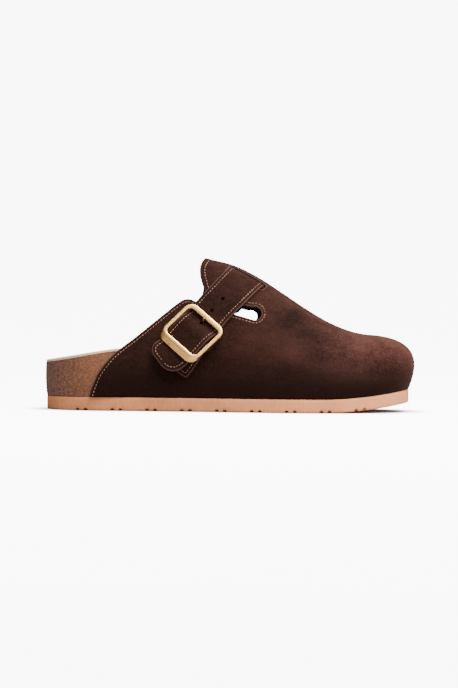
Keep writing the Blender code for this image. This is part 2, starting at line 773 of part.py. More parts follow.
def box_at(name, frame, size, group):
    """Box about a point, turned to three directions, with its size along each."""
    base, *directions = frame
    corners = [(a, b, c) for a in (-0.5, 0.5) for b in (-0.5, 0.5) for c in (-0.5, 0.5)]
    vertices = []
    for corner in corners:
        vertices.append(base + sum((d * s * k for d, s, k in zip(directions, size, corner)), Vector()))
    faces = [(0, 1, 3, 2), (4, 6, 7, 5), (0, 4, 5, 1), (2, 3, 7, 6), (0, 2, 6, 4), (1, 5, 7, 3)]
    return new_object(name, vertices, faces, group)


def rod(name, points, radius, group, material=None):
    """Round bar along a path in one plane or a straight line, with flat ends."""
    first = (points[1] - points[0]).normalized()
    side = first.orthogonal().normalized()
    if len(points) > 2:
        side = (points[-1] - points[0]).cross(points[len(points) // 2] - points[0]).normalized()
    vertices = []
    for k, point in enumerate(points):
        ahead = (points[min(k + 1, len(points) - 1)] - points[max(k - 1, 0)]).normalized()
        up = ahead.cross(side).normalized()
        for j in range(WIRE_SIDES):
            turn = 2 * math.pi * j / WIRE_SIDES
            vertices.append(point + radius * (math.cos(turn) * side + math.sin(turn) * up))
    faces = []
    for k in range(len(points) - 1):
        for j in range(WIRE_SIDES):
            a, b = k * WIRE_SIDES + j, k * WIRE_SIDES + (j + 1) % WIRE_SIDES
            faces.append((a, b, b + WIRE_SIDES, a + WIRE_SIDES))
    end = len(vertices) - WIRE_SIDES
    faces += [tuple(range(WIRE_SIDES)), tuple(range(end, end + WIRE_SIDES))]
    return new_object(name, vertices, faces, group, material)


def slit_cutter(group):
    """Cutter for the tongue's slit, square to the strap where it dives under."""
    field = StrapField()
    base, ahead, across, out = field.frame(field.crest - SLIT_FROM_CREST)
    size = (SLIT_WIDTH + SLIT_MARGIN, STRAP_WIDTH + 2 * SLIT_MARGIN, SLIT_WIDTH)
    return box_at("slit_cutter", (base, ahead, across, out), size, group)


def make_strap(field, group, cutters, material):
    """Instep strap: free tip, rise over the buckle's bar, slit in the tongue, sewn end on the inner side."""
    count = round((field.end + STRAP_TIP) / STRAP_STEP)
    places = [-STRAP_TIP + (field.end + STRAP_TIP) * k / count for k in range(count + 1)]
    places += [STRAP_TIP_FRONT_ROUND * share - STRAP_TIP for share in (0.02, 0.08)]
    path = [(far, lambda side, far=far: (strap_height(field, far, side), None)) for far in sorted(places)]
    rounds = ((STRAP_TIP_FRONT_ROUND, TAB_ROUND), (STRAP_TIP_BACK_ROUND, TAB_ROUND))
    item = make_band("strap", field, path, rounds, group, material)
    thicken(item, STRAP_THICKNESS, 0)
    for k in range(FREE_HOLES + 1):
        far = PRONG_HOLE_AT + k * STRAP_HOLE_PITCH
        height = strap_height(field, far, 0.0)
        base = field.place(far, 0.0, height)
        ahead = (field.place(far + STRAP_HOLE, 0.0, height) - base).normalized()
        across = (field.place(far, STRAP_HOLE, height) - base).normalized()
        out = ahead.cross(across)
        long = PRONG_HOLE_LENGTH if k == 0 else STRAP_HOLE
        vertices = []
        for level in (-STRAP_THICKNESS, STRAP_THICKNESS):
            for j in range(WIRE_SIDES):
                turn = 2 * math.pi * j / WIRE_SIDES
                spread = ahead * long / 2 * math.cos(turn) + across * STRAP_HOLE / 2 * math.sin(turn)
                vertices.append(base + spread + level * out)
        ring = range(WIRE_SIDES)
        faces = [tuple(ring), tuple(j + WIRE_SIDES for j in ring)]
        faces += [
            (j, (j + 1) % WIRE_SIDES, (j + 1) % WIRE_SIDES + WIRE_SIDES, j + WIRE_SIDES) for j in ring
        ]
        cut(item, new_object(f"hole_cutter_{k + 1}", vertices, faces, cutters))
    return item


def bar_centre():
    """The centre bar's place: distance along the strap and height above the upper."""
    drop = CENTRE_BAR_DROP
    return -drop * math.sin(BUCKLE_TILT), BUCKLE_RISE - drop * math.cos(BUCKLE_TILT)


def make_tab(field, group, cutters, material):
    """Folded leather tab: one layer sewn down, round the centre bar, and back over itself."""
    upper_face = SEAT_GAP + UPPER_WALL
    far, height = bar_centre()
    bend = CENTRE_BAR_RADIUS + SEAT_GAP + TAB_LAYER / 2
    low = SEAT_GAP + TAB_LAYER / 2
    high = low + SEAT_GAP + TAB_LAYER
    end = far - TAB_LENGTH
    path = [(end + TAB_ROUND * share, low, 0.0) for share in (0.0, 0.1, 0.5)]
    path += [(end + (far - bend - end) * k / 6, low, 0.0) for k in range(2, 6)]
    path += [(far - bend, low, 0.0)]
    for k in range(8):
        turn = math.radians(-100 + 30 * k)
        path.append((far + bend * math.cos(turn), height + bend * math.sin(turn), 1.0))
    back = [(2.0 * bend, 0.62, 0.9), (3.2 * bend, 0.22, 0.5), (4.6 * bend, 0.04, 0.1), (6.0 * bend, 0.0, 0.0)]
    path += [(far - step, high + (height + bend - high) * share, flat) for step, share, flat in back]
    start = far - back[-1][0]
    path += [(start + (end - start) * k / 4, high, 0.0) for k in range(1, 4)]
    path += [(end + TAB_ROUND * share, high, 0.0) for share in (0.5, 0.1, 0.0)]
    rounds = ((TAB_ROUND, TAB_ROUND), (TAB_ROUND, TAB_ROUND))
    steps = [(along, (upper_face + rise, flat)) for along, rise, flat in path]
    item = make_band("buckle_tab", field, steps, rounds, group, material)
    thicken(item, TAB_LAYER, 0)
    base, ahead, across, out = field.buckle_frame()
    middle = base + upper_face * out + far * ahead + height * out
    size = (2 * (bend + TAB_LAYER) + TAB_SLOT / 2, TAB_SLOT, 2 * (height + TAB_LAYER))
    cut(item, box_at("tab_slot_cutter", (middle, ahead, across, out), size, cutters))
    return item


def buckle_point(field, along, side, depth):
    """Point in the buckle's own tilted frame."""
    base, ahead, across, out = field.buckle_frame()
    origin = base + (SEAT_GAP + UPPER_WALL + BUCKLE_RISE) * out
    lean, rise = math.sin(BUCKLE_TILT), math.cos(BUCKLE_TILT)
    return origin + along * (ahead * rise - out * lean) + side * across + depth * (out * rise + ahead * lean)


def make_buckle(field, group, material):
    """Flat frame with rounded corners, and the centre bar between two ears under its side bars."""
    half_long = (BUCKLE_REACH - BUCKLE_BAR) / 2
    half_wide = STRAP_WIDTH / 2 + BUCKLE_SIDE_GAP + BUCKLE_BAR / 2
    round_off = BUCKLE_CORNER - BUCKLE_BAR / 2
    bevel = BUCKLE_BAR / 4
    section = []
    for a, b in ((1, 1), (-1, 1), (-1, -1), (1, -1)):
        tall, wide = BUCKLE_DEPTH / 2, BUCKLE_BAR / 2
        pair = [(a * wide, b * (tall - bevel)), (a * (wide - bevel), b * tall)]
        section += pair if a * b > 0 else pair[::-1]
    vertices = []
    for corner in range(4):
        sign_a, sign_b = ((1, 1), (-1, 1), (-1, -1), (1, -1))[corner]
        for k in range(CORNER_STEPS + 1):
            turn = math.pi / 2 * (corner + k / CORNER_STEPS)
            direction = (math.cos(turn), math.sin(turn))
            centre = (sign_a * (half_long - round_off), sign_b * (half_wide - round_off))
            for out, up in section:
                reach = round_off + out
                vertices.append(buckle_point(
                    field, centre[0] + reach * direction[0], centre[1] + reach * direction[1], up,
                ))
    count, ring = 4 * (CORNER_STEPS + 1), len(section)
    faces = []
    for i in range(count):
        for j in range(ring):
            after, beside = (i + 1) % count, (j + 1) % ring
            faces.append((i * ring + j, i * ring + beside, after * ring + beside, after * ring + j))
    item = new_object("buckle_frame", vertices, faces, group, material)
    axes = [buckle_point(field, *step) - buckle_point(field, 0, 0, 0) for step in ((1, 0, 0), (0, 1, 0), (0, 0, 1))]
    ear = CENTRE_BAR_DROP + 1.3 * CENTRE_BAR_RADIUS
    for side in (-1, 1):
        middle = buckle_point(field, 0.0, side * half_wide, -ear / 2)
        join(item, box_at("ear", (middle, *axes), (EAR_LENGTH, BUCKLE_BAR * EAR_SHARE, ear), group))
    ends = [buckle_point(field, 0.0, side * half_wide, -CENTRE_BAR_DROP) for side in (-1, 1)]
    join(item, rod("centre_bar", ends, CENTRE_BAR_RADIUS, group))
    return item


def make_prong(field, group, material):
    """Wire prong: an open ring round the centre bar, a shank under the strap, up through its hole to the bar."""
    far, height = bar_centre()
    bend = CENTRE_BAR_RADIUS + SEAT_GAP + PRONG_RADIUS
    path = []
    for k in range(14):
        turn = math.radians(10 + 20 * k)
        path.append((far + bend * math.cos(turn), height + bend * math.sin(turn)))
    low = path[-1][1]
    hole_lift = smooth(STRAP_RIDE, "lift", PRONG_HOLE_AT) + STRAP_THICKNESS / 2
    top_bar = BUCKLE_RISE - (BUCKLE_REACH - BUCKLE_BAR) / 2 * math.sin(BUCKLE_TILT) + BUCKLE_DEPTH / 2
    tip_height = top_bar + 2 * SEAT_GAP + PRONG_RADIUS
    climb = math.tan(PRONG_RISE)
    strap_at = (PRONG_HOLE_AT, hole_lift - PRONG_DROP)
    foot = strap_at[0] - (strap_at[1] - low) / climb
    head = strap_at[0] + (tip_height - strap_at[1]) / climb
    soft = 1.2 * PRONG_RADIUS
    path += [(far + 2 * bend, low), (foot - soft, low), (foot + 0.2 * soft, low + 0.35 * soft)]
    path += [(foot + soft * math.cos(PRONG_RISE), low + soft * math.sin(PRONG_RISE))]
    path += [(head - soft * math.cos(PRONG_RISE), tip_height - soft * math.sin(PRONG_RISE))]
    path += [(head - 0.1 * soft, tip_height - 0.25 * soft), (head + soft, tip_height), (head + 2 * soft, tip_height)]
    base, ahead, _, out = field.buckle_frame()
    face = base + (SEAT_GAP + UPPER_WALL) * out
    points = [face + a * ahead + h * out for a, h in path]
    return rod("buckle_prong", points, PRONG_RADIUS, group, material)


def make_material(name, colour, roughness, metallic=0.0):
    """Plain Principled material."""
    material = bpy.data.materials.new(name)
    material.use_nodes = True
    shader = material.node_tree.nodes["Principled BSDF"]
    shader.inputs["Base Color"].default_value = (*colour, 1.0)
    shader.inputs["Roughness"].default_value = roughness
    shader.inputs["Metallic"].default_value = metallic
    return material


def make_group(name):
    """New collection in the scene."""
    group = bpy.data.collections.new(name)
    bpy.context.scene.collection.children.link(group)
    return group


def build():
    """Make every piece, then move the whole so that the origin is under the middle of the sole."""
    for item in list(bpy.data.objects):
        bpy.data.objects.remove(item)
    group, cutters = make_group("clog_slipper"), make_group("cutters")
    field = StrapField()
    pieces = [
        make_outsole(group, make_material("outsole_foam", (0.62, 0.45, 0.37), 0.9)),
        make_footbed(group, make_material("footbed_cork", (0.45, 0.27, 0.14), 0.85)),
        make_insole(group, make_material("insole_lining", (0.62, 0.50, 0.36), 0.95)),
        make_upper(group, cutters, make_material("upper_suede", (0.055, 0.030, 0.022), 0.95)),
        make_strap(field, group, cutters, make_material("strap_suede", (0.060, 0.033, 0.024), 0.95)),
        make_tab(field, group, cutters, make_material("tab_suede", (0.050, 0.028, 0.020), 0.95)),
        make_buckle(field, group, make_material("buckle_brass", (0.78, 0.66, 0.46), 0.35, 1.0)),
        make_prong(field, group, make_material("prong_brass", (0.78, 0.66, 0.46), 0.35, 1.0)),
    ]
    shift = Matrix.Translation(Vector((-SOLE_LENGTH / 2, 0, 0)))
    for item in pieces + list(cutters.objects):
        item.data.transform(shift)
    for cutter in cutters.objects:
        cutter.hide_render = True
        cutter.display_type = "WIRE"


build()
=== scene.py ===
"""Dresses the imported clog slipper: suede upper and strap, cork footbed, foam outsole and buckle.

Surfaces are worked out from the heel's back end, in metres, with +X to the toe and +Y to the inner
side, as the CAD source does. Every finished mesh is then moved back by half the sole's length.
"""

import logging
import math
from dataclasses import dataclass
from enum import Enum
from typing import Any, Callable, Sequence

import bmesh
import bpy
import numpy as np
from mathutils import Matrix, Vector


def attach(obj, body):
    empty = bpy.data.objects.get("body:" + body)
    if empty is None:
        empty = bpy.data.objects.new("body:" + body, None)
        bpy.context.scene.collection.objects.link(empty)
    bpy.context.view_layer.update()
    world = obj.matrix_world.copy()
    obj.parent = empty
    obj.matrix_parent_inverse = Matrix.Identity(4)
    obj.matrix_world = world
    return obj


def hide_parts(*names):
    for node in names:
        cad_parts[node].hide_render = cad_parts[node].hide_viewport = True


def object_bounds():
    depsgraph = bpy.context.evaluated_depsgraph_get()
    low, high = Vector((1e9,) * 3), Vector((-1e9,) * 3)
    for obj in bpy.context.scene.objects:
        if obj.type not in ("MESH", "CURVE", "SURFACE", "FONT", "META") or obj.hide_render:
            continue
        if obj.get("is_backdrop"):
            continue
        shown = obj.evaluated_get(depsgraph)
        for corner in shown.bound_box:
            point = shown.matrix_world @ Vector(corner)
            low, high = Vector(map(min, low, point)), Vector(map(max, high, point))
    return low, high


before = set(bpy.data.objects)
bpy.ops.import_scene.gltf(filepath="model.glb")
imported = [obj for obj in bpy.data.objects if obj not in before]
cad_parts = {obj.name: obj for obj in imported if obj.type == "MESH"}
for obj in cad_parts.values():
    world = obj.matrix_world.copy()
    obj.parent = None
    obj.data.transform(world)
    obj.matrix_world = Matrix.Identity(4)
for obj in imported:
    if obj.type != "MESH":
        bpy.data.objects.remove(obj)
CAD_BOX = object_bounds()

LOG = logging.getLogger("clog_slipper")
Array = np.ndarray
Object = bpy.types.Object
Mesh = bpy.types.Mesh
Pair = tuple[float, float]
Triple = tuple[float, float, float]
Line = tuple[Array, Array]
Quad = tuple[Array, Array, Array, Array]
BODY = "root"
UP = np.array((0.0, 0.0, 1.0))
RISE_HALVINGS = 24
TRIM_HALVINGS = 14
FOOT_ROUNDS = 6
TINY = 1e-12


class Side(Enum):
    """The two sides of the shoe, as the sign of their Y."""

    LATERAL = -1
    MEDIAL = 1


# Numbers and vectors as arrays


def ease(share: Array) -> Array:
    """Smooth step from 0 to 1."""
    share = np.clip(share, 0.0, 1.0)
    return share * share * (3 - 2 * share)


def hermite(start: Array, start_slope: Array, end: Array, end_slope: Array, share: Array) -> Array:
    """Cubic between two values that leaves and meets them with given slopes.

    Args:
        start: Value at share 0.
        start_slope: Slope there.
        end: Value at share 1.
        end_slope: Slope there.
        share: From 0 to 1.

    Returns:
        The value at the share.
    """
    return (
        start * (2 * share**3 - 3 * share**2 + 1)
        + start_slope * (share**3 - 2 * share**2 + share)
        + end * (3 * share**2 - 2 * share**3)
        + end_slope * (share**3 - share**2)
    )


def unit(vectors: Array) -> Array:
    """Vectors scaled to length 1."""
    length = np.linalg.norm(vectors, axis=-1, keepdims=True)
    return vectors / np.maximum(length, TINY)


def points(x: Array, y: Array, z: Array) -> Array:
    """Points from their three coordinates, which may be numbers or arrays."""
    return np.stack(np.broadcast_arrays(x, y, z), axis=-1).astype(float)


def dot(first: Array, second: Array) -> Array:
    """Scalar product along the last axis."""
    return (first * second).sum(-1)


def between(first: Array, last: Array, columns: int) -> Array:
    """Grid of points that leads evenly from one line of points to another."""
    return first[:, None] + (last - first)[:, None] * np.linspace(0.0, 1.0, columns)[None, :, None]


def run_along(line: Array) -> Array:
    """Distance of each point of a line from its start."""
    return np.concatenate([[0.0], np.cumsum(np.linalg.norm(np.diff(line, axis=0), axis=1))])


def round_corners(steps: int) -> tuple[Array, Array]:
    """The four corners of a rounded rectangle, each passed in steps.

    Args:
        steps: Points round each corner.

    Returns:
        The corner's signs and the outward direction for every point.
    """
    signs = np.repeat([(1, 1), (-1, 1), (-1, -1), (1, -1)], steps, axis=0)
    turns = np.pi / 2 * np.concatenate([corner + np.linspace(0, 1, steps) for corner in range(4)])
    return signs, np.stack([np.cos(turns), np.sin(turns)], axis=-1)


class Curves:
    """Smooth curves through the columns of a table whose first column is the place along them."""

    def __init__(self, names: str, rows: Sequence[Sequence[float]]) -> None:
        """Works out the slope of each column at each row.

        Args:
            names: The columns' names, parted by spaces.
            rows: The place along the curves, then a value for each column.
        """
        table = np.array(rows, float)
        self.places = table[:, 0]
        spans = np.diff(self.places)
        self.columns = {}
        for name, values in zip(names.split(), table[:, 1:].T):
            secants = np.diff(values) / spans
            slopes = np.empty_like(values)
            slopes[0], slopes[-1] = secants[0], secants[-1]
            slopes[1:-1] = (secants[:-1] * spans[1:] + secants[1:] * spans[:-1]) / (spans[:-1] + spans[1:])
            self.columns[name] = (values, slopes)

    def at(self, name: str, along: Array) -> Array:
        """Value of a column at places along the table.

        Args:
            name: The column.
            along: Places, held to the table's ends.

        Returns:
            The column's value at each place.
        """
        along = np.clip(along, self.places[0], self.places[-1])
        i = np.clip(np.searchsorted(self.places, along, side="right") - 1, 0, len(self.places) - 2)
        span = self.places[i + 1] - self.places[i]
        values, slopes = self.columns[name]
        share = (along - self.places[i]) / span
        return hermite(values[i], slopes[i] * span, values[i + 1], slopes[i + 1] * span, share)


# The last: the form that footbed, upper and strap are laid on


@dataclass(frozen=True)
class Outline:
    """One side of the sole: widths as shares of the ball width, places as shares of the length."""

    heel_at: float
    heel_width: float
    waist_at: float
    waist_width: float
    ball_at: float
    ball_width: float
    heel_curve: float
    toe_curve: float


@dataclass(frozen=True)
class Last:
    """Sizes of the shoe's form, and its surfaces."""

    sole_length: float = 0.272
    ball_width: float = 0.101
    outsole_thickness: float = 0.010
    toe_spring: float = 0.007
    spring_start: float = 0.76
    spring_bend: float = 1.7
    rim_height: float = 0.034
    rim_width: float = 0.0035
    dish_end: float = 0.028
    instep_height: float = 0.0995
    wall: float = 0.0020
    gap: float = 0.0003
    toe_tip_shift: float = 0.075
    heel_pole: float = 0.130
    toe_pole: float = 0.880
    pole_slope: float = -0.04
    inset_from: float = 0.08
    inset_to: float = 0.25
    crest_level: float = 0.96
    foot_limit: float = 0.3
    rim_rows: Pair = (0.66, 0.33)
    inner_shift: Pair = (-0.0030, -0.0036)
    lateral: Outline = Outline(0.165, 0.345, 0.40, 0.400, 0.665, 0.508, 2.1, 2.2)
    medial: Outline = Outline(0.150, 0.335, 0.42, 0.345, 0.745, 0.492, 2.1, 2.5)
    sections: Curves = Curves(
        "crest shift flare lift crown inner_flare inner_lift inner_crown",
        (
            (0.000, 1.200, 0.000, 9.0, 0.36, 0.50, 9.0, 0.36, 0.50),
            (0.130, 1.200, 0.000, 7.0, 0.36, 0.50, 7.0, 0.36, 0.50),
            (0.300, 1.110, 0.030, 3.0, 0.31, 0.30, 3.0, 0.33, 0.36),
            (0.400, 1.048, 0.044, 2.0, 0.28, 0.36, 2.0, 0.32, 0.46),
            (0.445, 1.016, 0.050, 2.0, 0.28, 0.52, 2.0, 0.32, 0.60),
            (0.511, 0.970, 0.056, 2.0, 0.28, 0.64, 2.0, 0.32, 0.70),
            (0.578, 0.882, 0.060, 3.0, 0.29, 0.67, 3.0, 0.33, 0.73),
            (0.644, 0.767, 0.062, 5.0, 0.32, 0.69, 4.0, 0.34, 0.75),
            (0.711, 0.646, 0.062, 8.0, 0.34, 0.71, 6.0, 0.35, 0.77),
            (0.778, 0.542, 0.062, 12.0, 0.36, 0.75, 10.0, 0.37, 0.80),
            (0.844, 0.474, 0.064, 15.0, 0.38, 0.83, 15.0, 0.38, 0.87),
            (0.880, 0.455, 0.066, 17.0, 0.38, 0.90, 17.0, 0.38, 0.94),
            (1.000, 0.430, 0.066, 19.7, 0.375, 1.47, 19.7, 0.375, 1.47),
        ),
    )
    bed: Curves = Curves(
        "lateral_rim medial_rim middle curve",
        (
            (0.00, 0.735, 0.735, 0.46, 3.4),
            (0.07, 0.835, 0.820, 0.38, 3.6),
            (0.13, 0.930, 0.900, 0.36, 3.6),
            (0.19, 1.000, 0.970, 0.38, 3.6),
            (0.30, 0.900, 0.975, 0.46, 3.2),
            (0.42, 0.720, 0.920, 0.50, 2.8),
            (0.55, 0.560, 0.640, 0.38, 3.0),
            (0.70, 0.440, 0.470, 0.26, 3.4),
            (0.85, 0.400, 0.400, 0.25, 3.6),
            (1.00, 0.400, 0.400, 0.27, 3.6),
        ),
    )

    def outline_y(self, side: Array, x: Array) -> Array:
        """The sole's edge on a side, at a distance from the heel's back end.

        Args:
            side: -1 for the outer side and 1 for the inner one.
            x: Distance from the heel's back end.

        Returns:
            Y of the edge.
        """

        def pick(name: str) -> Array:
            """A size of the outline on the side asked for."""
            return np.where(side < 0, getattr(self.lateral, name), getattr(self.medial, name))

        along = np.clip(x / self.sole_length, 0.0, 1.0)
        half = side * self.ball_width
        heel, waist, ball = (half * pick(name) for name in ("heel_width", "waist_width", "ball_width"))
        heel_at, waist_at, ball_at = pick("heel_at"), pick("waist_at"), pick("ball_at")
        back = np.clip(1 - along / heel_at, 0.0, 1.0)
        front = np.clip((along - ball_at) / (1 - ball_at), 0.0, 1.0)
        heel_curve, toe_curve = pick("heel_curve"), pick("toe_curve")
        tip = self.toe_tip_shift * self.ball_width
        rear = heel * (1 - back**heel_curve) ** (1 / heel_curve)
        fore = tip + (ball - tip) * (1 - front**toe_curve) ** (1 / toe_curve)
        behind, ahead = waist_at - heel_at, ball_at - waist_at
        fall, climb = (waist - heel) / behind, (ball - waist) / ahead
        slope = np.where(fall * climb < 0, 0.0, (fall * ahead + climb * behind) / (behind + ahead))
        into = np.clip((along - heel_at) / behind, 0.0, 1.0)
        onto = np.clip((along - waist_at) / ahead, 0.0, 1.0)
        middle = np.where(
            along < waist_at,
            hermite(heel, 0.0, waist, slope * behind, into),
            hermite(waist, slope * ahead, ball, 0.0, onto),
        )
        return np.where(along < heel_at, rear, np.where(along > ball_at, fore, middle))

    def spring(self, x: Array) -> Array:
        """How far the toe spring lifts the sole off the ground."""
        rise = (x / self.sole_length - self.spring_start) / (1 - self.spring_start)
        return self.toe_spring * np.maximum(rise, 0.0) ** self.spring_bend

    def feather(self, x: Array) -> Array:
        """Height of the line where upper and footbed meet the outsole."""
        return self.outsole_thickness + self.gap + self.spring(x)

    def crest(self, x: Array) -> Array:
        """Point of the form's highest line.

        Args:
            x: Distance from the heel's back end.

        Returns:
            The point above x.
        """
        along = x / self.sole_length
        height = self.outsole_thickness + self.sections.at("crest", along) * self.instep_height
        return points(x, self.sections.at("shift", along) * self.ball_width, height)

    def station(self, turn: Array) -> tuple[Array, Array]:
        """Side and x of a place on the outline.

        Args:
            turn: 0 at the heel, 1 at the toe, and 1 to 2 on the way back along the inner side.

        Returns:
            The side's sign and the distance from the heel's back end.
        """
        turn = np.mod(turn, 2.0)
        share = np.where(turn <= 1, turn, 2 - turn)
        return np.where(turn <= 1, -1.0, 1.0), self.sole_length * (1 - np.cos(np.pi * share)) / 2

    def turn_at(self, side: Array, x: Array) -> Array:
        """The place on the outline that station gives this side and x for."""
        share = np.arccos(np.clip(1 - 2 * x / self.sole_length, -1.0, 1.0)) / np.pi
        return np.where(np.asarray(side) < 0, share, 2 - share)

    def skin(self, turn: Array, rise: Array) -> Array:
        """Point on the form, where rise 0 is at the outsole and 1 at the crest.

        Args:
            turn: Place on the outline.
            rise: How far up the section.

        Returns:
            Points.
        """
        side, x = self.station(turn)
        along = x / self.sole_length
        top = self.crest(self.sole_length * np.clip(along, self.heel_pole, self.toe_pole))
        edge = points(x, self.outline_y(side, x), self.feather(x))
        out = unit((edge - top) * (1, 1, 0))
        covered = ease((along - self.inset_from) / (self.inset_to - self.inset_from))
        foot = edge - out * ((self.wall + self.gap) * covered)[..., None]
        reach = np.linalg.norm((foot - top)[..., :2], axis=-1)

        def column(name: str) -> Array:
            """A column of the section table on the side asked for."""
            return np.where(side < 0, self.sections.at(name, along), self.sections.at("inner_" + name, along))

        flare = np.radians(column("flare"))
        lift = column("lift") * (top - foot)[..., 2]
        crown = column("crown") * reach
        low = foot + lift[..., None] * (out * np.sin(flare)[..., None] + UP * np.cos(flare)[..., None])
        slope = np.where(along > self.toe_pole, out[..., 0] * self.pole_slope, 0.0)
        high = top + crown[..., None] * (out + UP * slope[..., None])
        t = np.asarray(rise, float)[..., None]
        return foot * (1 - t) ** 3 + low * 3 * t * (1 - t) ** 2 + high * 3 * t**2 * (1 - t) + top * t**3

    def raw_normal(self, turn: Array, rise: Array) -> Array:
        """Outward direction away from the crest.

        Args:
            turn: Place on the outline.
            rise: How far up the section.

        Returns:
            Directions of length 1.
        """
        step = 0.004
        around = self.skin(turn + step, rise) - self.skin(turn - step, rise)
        upward = self.skin(turn, np.minimum(rise + step, 1.0)) - self.skin(turn, np.maximum(rise - step, 0.0))
        return unit(np.cross(around, upward))

    def normal(self, turn: Array, rise: Array) -> Array:
        """Outward direction, the same from both sides along the crest.

        Args:
            turn: Place on the outline.
            rise: How far up the section.

        Returns:
            Directions of length 1.
        """
        level = np.minimum(rise, self.crest_level)
        own = self.raw_normal(turn, level)
        _, x = self.station(turn)
        outer = self.turn_at(-1, np.minimum(x, self.toe_pole * self.sole_length))
        limit = np.full_like(level, self.crest_level)
        top = unit(self.raw_normal(outer, limit) + self.raw_normal(2 - outer, limit))
        share = ease((rise - self.crest_level) / (1 - self.crest_level))[..., None]
        return unit(own + (top - own) * share)

    def cover(self, turn: Array, rise: Array, lift: Array) -> Array:
        """Point at a height above the form."""
        return self.skin(turn, rise) + np.asarray(lift)[..., None] * self.normal(turn, rise)

    def find_rise(self, level: Callable[[Array], Array], top: Array) -> Array:
        """The rise at which a level passes 0.

        Args:
            level: Gives the level, which grows with the rise.
            top: The largest rise to look at.

        Returns:
            The rise for each place.
        """
        low, high = np.zeros_like(top), np.array(top, float)
        for _ in range(RISE_HALVINGS):
            middle = (low + high) / 2
            under = level(middle) < 0
            low, high = np.where(under, middle, low), np.where(under, high, middle)
        return (low + high) / 2

    def rise_at(self, side: Array, x: Array, z: Array) -> Array:
        """The rise at which the form's section through x reaches height z."""
        turn = self.turn_at(side, x)
        return self.find_rise(lambda rise: self.skin(turn, rise)[..., 2] - z, np.ones_like(turn))

    def first_rise(self, turn: Array, lift: float) -> Array:
        """The rise at which a raised surface stands level with the outsole's top.

        Args:
            turn: Places on the outline.
            lift: How far the surface is raised above the form.

        Returns:
            The rise for each place.
        """
        _, x = self.station(turn)
        line, raised, limit = self.feather(x), np.full_like(turn, lift), np.full_like(turn, self.foot_limit)
        return self.find_rise(lambda rise: self.cover(turn, rise, raised)[..., 2] - line, limit)

    def on_last(self, x: Array, turned: Array) -> Array:
        """Point where turned runs from -1 at the outer foot over 0 on the crest to 1."""
        return self.skin(self.turn_at(np.where(turned < 0, -1, 1), x), 1 - np.abs(turned))

    def local_frame(self, x: Array, turned: Array) -> Quad:
        """The form round a place.

        Args:
            x: Distance from the heel's back end.
            turned: From -1 at the outer foot over 0 on the crest to 1.

        Returns:
            Point, outward normal, and how the point moves with x and with turned.
        """
        step = 0.0005
        ahead = (self.on_last(x + step, turned) - self.on_last(x - step, turned)) / (2 * step)
        step = 0.002
        over = (self.on_last(x, turned + step) - self.on_last(x, turned - step)) / (2 * step)
        return self.on_last(x, turned), unit(np.cross(ahead, over)), ahead, over

    def nearest(self, target: Array, x: Array, turned: Array) -> tuple[Array, Array]:
        """Foot of points on the form.

        Args:
            target: The points.
            x: First guess of the distance from the heel's back end.
            turned: First guess of the place round the section.

        Returns:
            The place of each foot, as x and turned.
        """
        for _ in range(FOOT_ROUNDS):
            base, _, ahead, over = self.local_frame(x, turned)
            a, b, c = dot(ahead, ahead), dot(ahead, over), dot(over, over)
            d, e = dot(target - base, ahead), dot(target - base, over)
            x = x + (d * c - e * b) / (a * c - b * b)
            turned = turned + (e * a - d * b) / (a * c - b * b)
        return x, turned

    def side_point(self, along: float, height: float) -> Pair:
        """A place of a side-view table as x and z."""
        return along * self.sole_length, self.outsole_thickness + height * self.instep_height

    def bed_height(self, x: Array, column: str) -> Array:
        """Height of a footbed column above the ground."""
        share = self.bed.at(column, x / self.sole_length)
        return self.outsole_thickness + self.spring(x) + self.rim_height * share

    def rim_point(self, side: Side, x: Array, lift: float) -> Array:
        """Point on the footbed's rim, or above it.

        Args:
            side: The side of the shoe.
            x: Distance from the heel's back end.
            lift: Height above the rim.

        Returns:
            The points.
        """
        sign = np.full_like(x, side.value)
        height = self.bed_height(x, "lateral_rim" if side is Side.LATERAL else "medial_rim") + lift
        return self.skin(self.turn_at(sign, x), self.rise_at(sign, x, height))

    def dish(self, x: Array, columns: int, lift: float) -> Array:
        """The footbed's dished top as a grid of points.

        Args:
            x: Distances from the heel, one per row.
            columns: How many points lie between the two rims.
            lift: How far above the cork.

        Returns:
            Points by row, from the outer rim to the inner one.
        """
        outer, inner = self.rim_point(Side.LATERAL, x, 0.0), self.rim_point(Side.MEDIAL, x, 0.0)
        half = np.linalg.norm(inner - outer, axis=-1) / 2
        flat = np.minimum(self.rim_width / np.maximum(half, 1e-6), 0.5)[:, None]
        inside = (1 - flat) * np.sin(np.linspace(-1, 1, columns) * np.pi / 2)[None, :]
        rim = np.hstack([1 - flat * part for part in (*self.rim_rows, 0.0)])
        across = np.hstack([-rim[:, ::-1], inside, rim])
        grid = outer[:, None] + (inner - outer)[:, None] * ((across + 1) / 2)[..., None]
        floor = self.bed_height(x, "middle")[:, None]
        curve = self.bed.at("curve", x / self.sole_length)[:, None]
        near_end = np.minimum(x, self.sole_length - x) - self.rim_width
        end = np.clip(1 - near_end / self.dish_end, 0.0, 1.0)[:, None]
        wall = np.minimum(np.abs(across) / (1 - flat), 1.0) ** curve
        grid[..., 2] -= (grid[..., 2] - floor) * (1 - wall) * (1 - end**3)
        if not lift:
            return grid
        normals = unit(np.cross(np.gradient(grid, axis=0), np.gradient(grid, axis=1)))
        normals[0], normals[-1] = UP, UP
        raised = grid + lift * normals
        for column, side in ((0, Side.LATERAL), (-1, Side.MEDIAL)):
            raised[:, column] = self.rim_point(side, x, lift)
        raised[0], raised[-1] = raised[0, 0], raised[-1, 0]
        return raised


LAST = Last()


# Modelling helpers


def deselect() -> None:
    """Leaves nothing selected."""
    bpy.ops.object.select_all(action="DESELECT")


